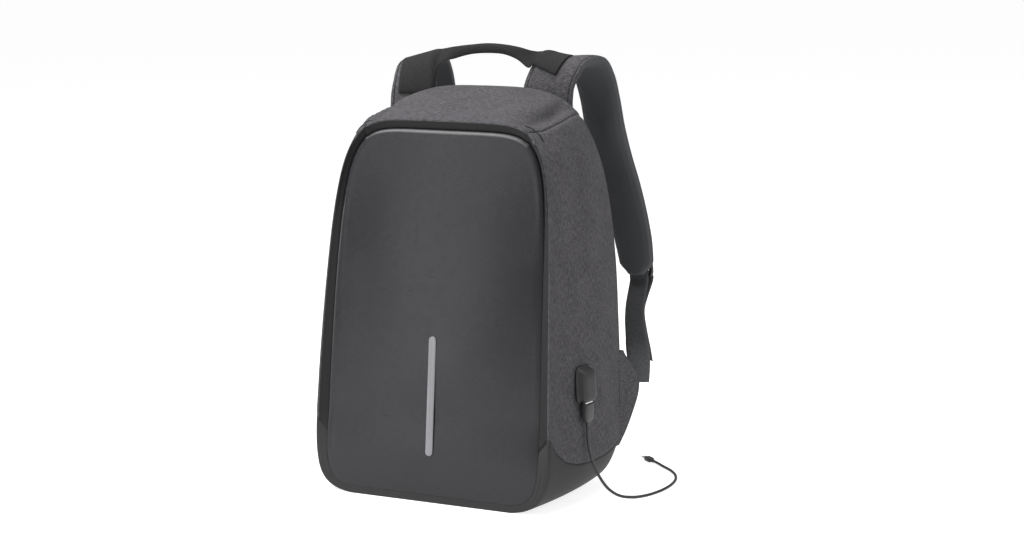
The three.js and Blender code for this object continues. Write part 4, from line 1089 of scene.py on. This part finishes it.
def makeWeb(side):  # a flat section with rounded edges along the route, its last end cut slanting
    places, widths = webStations(side)
    last = len(places) - 1
    at = curveThrough(places)
    u = np.linspace(0, last, 131)
    spine, way = at(u), courseOf(at, np.clip(u, 1e-3, last - 1e-3))
    flat = np.stack([np.interp(u, np.arange(last + 1), widths[:, k]) for k in range(3)], -1)
    flat = unit(flat - way * np.sum(flat * way, -1, keepdims=True))
    out = np.cross(flat, way)
    across = np.concatenate([np.linspace(-1, 1, 9), np.linspace(1, -1, 9)])
    face = np.repeat([1.0, -1.0], 9) * (1 - 0.5 * np.abs(across) ** 12)
    tail = np.where(u >= u[-1] - 1e-6, 1, 0)[:, None]
    grid = spine[:, None] + flat[:, None] * (across * web["width"] / 2)[None, :, None]
    grid = grid + out[:, None] * (face * web["thick"] / 2)[None, :, None]
    grid = grid + way[:, None] * (tail * across * web["cut"] / 2)[..., None]
    dress(loft(f"web_{side}", grid, webbing), "webbing", f"strap_webbing_{side}")


def makeLock(side):  # an adjuster: a rounded bar along a square loop, and one across its middle
    middle, along, wide, outer = lockPlace(side)
    centre = middle + outer * (lockLift + web["lockThick"] / 2)
    w, h = web["lockWidth"] / 2 - web["bar"] / 2, web["lockLength"] / 2 - web["bar"] / 2
    x, z = powerCircle(web["frameSteps"], web["framePower"])
    path = np.stack([w * x, h * z], -1)
    way = unit(np.roll(path, -1, axis=0) - np.roll(path, 1, axis=0))
    outward = np.stack([way[:, 1], -way[:, 0]], -1)
    p, q = powerCircle(web["barSteps"], web["barPower"])
    p, q = p * web["bar"] / 2, q * web["lockThick"] / 2
    flat = path[:, None] + outward[:, None] * p[None, :, None]
    grid = centre + wide * flat[..., :1] + along * flat[..., 1:] + outer * q[None, :, None]
    ring = surface(f"adjuster_{side}", grid, blackPlastic, closedI=True, closedJ=True)
    dress(ring, "black_plastic", f"ladder_lock_{side}")
    reach = np.linspace(-1, 1, 15) * (w - 0.5)
    bar = centre + wide * reach[:, None, None] + along * p[None, :, None] + outer * (q * 0.9)[None, :, None]
    dress(loft(f"adjuster_bar_{side}", bar, blackPlastic), "black_plastic")


for side in hands:
    makeWeb(side)
    makeLock(side)
print("web and adjusters made")


# Gussets at the lower back corners

wing = {
    "top": 142.0, "bottom": 40.0, "reach": 26.0, "flare": 8.0, "thick": 4.0, "clear": 0.9, "sewnAt": 0.93,
    "height": [0, 0.25, 0.53, 0.7, 0.85, 1], "out": [-0.1, 0.4, 0.98, 1, 0.55, 0.02],
    "plump": 1.1, "plumpVary": 0.7, "plumpLong": 26, "boundTo": 0.78, "binding": (2.0, 1.1),
}


def wingEdges(z):  # outline points of the gusset's section at each height, on the right-hand side
    def onBody(ring, share):
        x = onRing(ring, angleAt(ring, z)[:, None])[0][:, 0]
        return np.stack([x, mix(frontY(z), depth / 2, share), z], -1)

    clear, bodyEnd = wing["clear"], bag["bodyEnd"]
    ones, eighth = np.ones(len(z)), math.pi / 4
    endRing, backRing = ringAt(bodyEnd * ones), shrunk(ringAt(ones), bag["backRoll"] * ones)
    start = onBody(ringAt(wing["sewnAt"] * ones), wing["sewnAt"]) - [clear, 0, 0]
    bend = onBody(endRing, bodyEnd) + [clear, 0, 0]
    half = onBody(mix(endRing, backRing, 1 - math.cos(eighth)), mix(bodyEnd, 1, math.sin(eighth)))
    half = half + [clear * 0.8, clear * 0.8, 0]
    flat = onBody(backRing, 1) + [0, clear, 0]
    return start, bend, half, flat


def makeWing(side):  # from the side's cloth straight to a tip that stands out by the table, plump between
    hand = hands[side]
    height = np.linspace(0, 1, 40)
    z = mix(wing["bottom"], wing["top"], height)
    start, bend, half, flat = wingEdges(z)
    reach = np.interp(height, wing["height"], wing["out"])
    reach = np.convolve(np.pad(reach, 3, mode="edge"), np.ones(7) / 7, mode="valid")
    tip = bend + np.stack([reach * wing["flare"], reach * wing["reach"] + bag["backRoll"], 0 * reach], -1)
    s = np.linspace(0, 1, 12)[None, :, None]
    outer = mix(start[:, None], mix(bend[:, None], tip[:, None], s), np.clip(s * 4, 0, 1))
    uneven = wing["plump"] + wing["plumpVary"] * waves(outer, wing["plumpLong"], 41)[..., None]
    outer = outer + np.array([0.5, 0.2, 0]) * (np.sin(math.pi * s) * uneven)
    thick = wing["thick"]
    inner = np.stack([tip + [-thick * 0.75, 1, 0], mix(tip, flat, 0.5) + [-thick * 0.9, 0.3, 0],
                      flat + [1.5, 1.2, 0], half, bend + [0.1, 0, 0]], 1)
    grid = np.concatenate([outer, inner], axis=1) * [hand, 1, 1]
    dress(loft(f"gusset_{side}", grid, heather), "heather_cloth", f"wing_{side}")
    makeBinding(f"gusset_binding_{side}", (tip + [-1.2, 0.6, 0])[height < wing["boundTo"]] * [hand, 1, 1])


def makeBinding(name, path):  # a folded tape round an edge: an ellipse along the path
    way = unit(np.gradient(path, axis=0))
    beside = unit(np.cross(way, [0, 1, 0.2]))
    up = np.cross(beside, way)
    across, thick = wing["binding"]
    a, b = powerCircle(12, 1)
    grid = path[:, None] + beside[:, None] * (a * across)[None, :, None]
    grid = grid + up[:, None] * (b * thick)[None, :, None]
    dress(loft(name, grid, webbing), "webbing")


for side in hands:
    makeWing(side)
print("gussets made")


# Charging socket, its plug and the lead

port = {
    "width": 27.0, "height": 38.0, "bottom": 107.0, "share": 0.35, "lift": 0.6, "flange": 1.6, "gap": 0.33,
    "shell": (12.0, 4.5, 2.8), "plug": (15.0, 8.0, 18.0), "neck": (4.4, 5.0), "neckEnd": 3.6,
    "ribs": 4, "ribDeep": 0.35,
    "housing": [  # out, narrower, shorter, lower than the foot
        (0, 0, 0, 0), (1.2, 0, 0, 0), (1.6, 0.6, 0.6, 0), (1.8, 3, 3, 0), (2.2, 3.4, 3.4, 0),
        (7.2, 4.2, 5, 1), (8.6, 5, 6.6, 1.8), (9.6, 7, 9.5, 2.6), (10.2, 10, 13, 3.6),
        (10.5, 14, 18, 4.2), (10.5, 20, 26, 4.4),
    ],
    "mould": [  # up from the shoulder, narrower, thinner
        (1.3, 1.4, 1.2), (0.8, 0.4, 0.3), (0.1, 0, 0), (-14, 1, 0.6), (-16, 2.4, 1.2), (-17.4, 5, 2),
        (-18, 7, 2.6),
    ],
}


def portFrame():
    share, z = port["share"], port["bottom"] + port["height"] / 2

    def foot(part, height):
        ring = ringAt(np.array([part]))
        x = float(onRing(ring, angleAt(ring, np.array([height]))[:, None])[0][0, 0])
        return np.array([x, float(mix(frontY(height), depth / 2, part)), height])

    here = foot(share, z)
    along = unit((foot(share + 0.05, z) - here) * [1, 1, 0])
    up = foot(share, z + port["height"] / 2) - here
    up = unit(up - along * up.dot(along))
    return here, along, up, unit(np.cross(along, up))


portFoot, portAlong, portUp, portOut = portFrame()
plugOut = port["lift"] + port["flange"] + 0.6 + port["plug"][1] / 2
plugTop = port["bottom"] + 1.5 - port["gap"]
plugShoulder = plugTop - port["shell"][2]
plugBottom = plugShoulder - port["plug"][2]


def makePort():  # squarish rings from the flange outwards, smaller and lower as they go
    rings = []
    for out, narrow, short, drop in port["housing"]:
        a, b = roundSection(port["width"] - narrow, port["height"] - short, 5)
        level = portFoot + portAlong * a[:, None] + portUp * (b - drop)[:, None]
        rings.append(level + portOut * (port["lift"] + out))
    dress(loft("socket_housing", rings, softRubber), "soft_rubber", "usb_port")


def byPort(a, out, z):  # points along and out from the housing's foot, at one height
    level = portFoot * [1, 1, 0] + [0, 0, z]
    return level + portAlong * np.asarray(a)[:, None] + portOut * np.asarray(out)[:, None]


def plugRing(width, thick, power, z):
    a, b = roundSection(width, thick, power)
    return byPort(a, plugOut + b, z)


def makePlug():  # the metal shell, then the mould and its ribbed neck in one row of rings
    shellWide, shellThick, _ = port["shell"]
    wide, thick, _ = port["plug"]
    heights = (plugTop, plugTop - 0.2, plugShoulder + 0.1, plugShoulder - 0.5)
    shell = loft("plug_shell", [plugRing(shellWide, shellThick, 9, z) for z in heights], plated)
    rings = [plugRing(wide - narrow, thick - thin, 4.5, plugShoulder + up)
             for up, narrow, thin in port["mould"]]
    neck, neckLong = port["neck"]
    ribs = port["ribs"]
    for share in np.linspace(0, 1, ribs * 4 + 1):
        groove = port["ribDeep"] * (1 + math.cos(share * ribs * 2 * math.pi)) / 2
        size = mix(neck, port["neckEnd"], share) - groove
        rings.append(plugRing(size, size, 2, plugBottom - share * neckLong))
    mould = loft("plug_mould", rings, plugPlastic)
    return [dress(shell, "plug_plastic"), dress(mould, "plug_plastic", "usb_plug")]


lead = {
    "diameter": 3.0,
    "route": [  # from where it leaves the plug, then as heights above the floor
        (0, 0, 0), (0, 0, -6), (0.3, 0.2, -13), (2, 1.4, -26), (5.5, 4.4, -40), (10.5, 9.5, -54),
        (17, 17, -66.5), (25, 26, -74.5), (34, 37, -78), (43, 50, -79), (50, 66, -79), (54, 84, -79),
        (55, 103, -79), (52.5, 122, -79), (46, 139, -79), (36, 153, -79), (24, 164, -78.8), (13, 173, -78),
        (8, 177.1, -78),
    ],
    "mould": [  # far, width, thickness and squareness of the connector's rings
        (0, 3.7, 3.3, 2), (1, 3.5, 3.1, 2), (1.5, 4.0, 3.5, 2), (2.5, 3.7, 3.3, 2), (3, 4.3, 3.8, 2.2),
        (4.3, 4.4, 3.9, 2.5), (4.9, 6.6, 4.5, 3.5), (6, 7.6, 5, 4), (14.2, 7.6, 5, 4), (15, 7.0, 4.4, 4),
        (15.2, 5.0, 3, 4),
    ],
    "tip": [(14.6, 6.4, 1.5, 6), (15.4, 6.6, 1.6, 6), (21.6, 6.5, 1.6, 6), (22, 6.2, 1.3, 6)],
}


def leadPath():  # a curve from the plug's neck down to the floor and round to the connector
    start = byPort([0], [plugOut], plugBottom - port["neck"][1] - port["gap"])[0]
    onFloor = lead["diameter"] / 2 + 0.05
    route = np.array(lead["route"])
    height = mix(start[2], onFloor, np.clip(-route[:, 2] / 79, 0, 1))
    places = np.stack([start[0] + route[:, 0], start[1] + route[:, 1], height], -1)
    at = curveThrough(places)
    return at, len(places) - 1, at(np.linspace(0, len(places) - 1, 220))


def makeLead(onPlug):
    at, last, path = leadPath()
    line = bpy.data.curves.new("lead", "CURVE")
    line.dimensions = "3D"
    line.bevel_depth = lead["diameter"] / 2 * mm
    line.bevel_resolution = 4
    line.use_fill_caps = True
    spline = line.splines.new("POLY")
    spline.points.add(len(path) - 1)
    places = np.concatenate([path * mm, np.ones((len(path), 1))], 1)
    spline.points.foreach_set("co", places.astype(np.float32).ravel())
    line.materials.append(jacket)
    cord = bpy.data.objects.new("lead", line)
    bpy.context.scene.collection.objects.link(cord)
    dress(cord, "lead_jacket", "lead_cord")
    onEnd = makeConnector(at, last)
    length = float(np.linalg.norm(np.diff(path, axis=0), axis=1).sum()) * mm
    print("lead length", round(length, 4))
    tuple(path[0] * mm)
    onPlug + onEnd


def makeConnector(at, last):  # a small flat connector on the far end, its ribs and its metal tip
    end = at(np.array([float(last)]))[0]
    along = unit(courseOf(at, np.array([last - 0.01]))[0] * [1, 1, 0])
    across = np.array([-along[1], along[0], 0])

    def section(far, width, thick, power):
        a, b = roundSection(width, thick, power, 36)
        return end + along * (port["gap"] + far) + across * a[:, None] + np.array([0, 0, 1]) * b[:, None]

    mould = loft("connector_mould", [section(*layer) for layer in lead["mould"]], plugPlastic)
    tip = loft("connector_tip", [section(*layer) for layer in lead["tip"]], plated)
    return [dress(mould, "plug_plastic", "lead_connector"), dress(tip, "plug_plastic")]


makePort()
makeLead(makePlug())
print("socket and lead made")


# Back zip: teeth along the middle of the tape, and a slider with its pull

zipLook = {"pitch": 2.9, "bar": (5.2, 2.0, 1.7), "lift": 0.5, "clear": 2, "fine": 4000}
slider = {  # height above the floor; each ring says out, width, length
    "height": 118, "lift": 0.5, "pullLift": 2.6, "pullDrop": 13,
    "body": [
        (0, 6.4, 11), (0.5, 7, 12), (1.6, 7, 12), (2.2, 6, 10.6), (2.4, 4, 7), (3.4, 4.2, 7.4), (3.6, 3, 6),
    ],
    "pull": [(0, 4.6, 24), (0.4, 5.6, 25), (1.3, 5.6, 25), (1.7, 4.6, 24)],
}


def makeZip():  # small bars across the middle of the tape, one pitch apart
    rows = np.arange(marks["right"] + 2, marks["rows"] - 1)
    column = (marks["stop"] + lastColumn) // 2
    line = curveThrough(skin[column][rows])
    fine = line(np.linspace(0, len(rows) - 1, zipLook["fine"]))
    length = lengthsOf(fine, 0)
    teeth = np.arange(zipLook["clear"], length[-1] - zipLook["clear"], zipLook["pitch"])
    places = np.stack([np.interp(teeth, length, fine[:, k]) for k in range(3)], -1)
    ways = unit(np.gradient(places, axis=0))
    across = unit(np.cross(ways, [0, 1.0, 0]))
    places = places + [0, zipLook["lift"], 0]
    dress(many("zip_coil", places, across, ways, zipLook["bar"], zipPlastic), "zip_tape")


def makeSlider():  # squarish rings outwards from the tape, for the body and for the pull that hangs on it
    def nearest(column):
        gap = np.abs(column[:, 2] - slider["height"]) + np.where(column[:, 0] > 0, 1e6, 0)
        return column[np.argmin(gap)]

    middle = (nearest(skin[lastColumn]) + nearest(skin[marks["stop"]])) / 2
    base = depth / 2 + slider["lift"]

    def ring(layer, power, lift, drop):
        out, width, long = layer
        a, b = roundSection(width, long, power, 32)
        return np.stack([middle[0] + a, np.full(32, base + lift + out), middle[2] - drop + b], -1)

    body = loft("slider_body", [ring(layer, 4, 0, 0) for layer in slider["body"]], gunmetal)
    dress(body, "slider_metal", "zip_slider")
    pull = [ring(layer, 5, slider["pullLift"], slider["pullDrop"]) for layer in slider["pull"]]
    dress(loft("slider_pull", pull, webbing), "webbing")


makeZip()
makeSlider()
print("zip made")
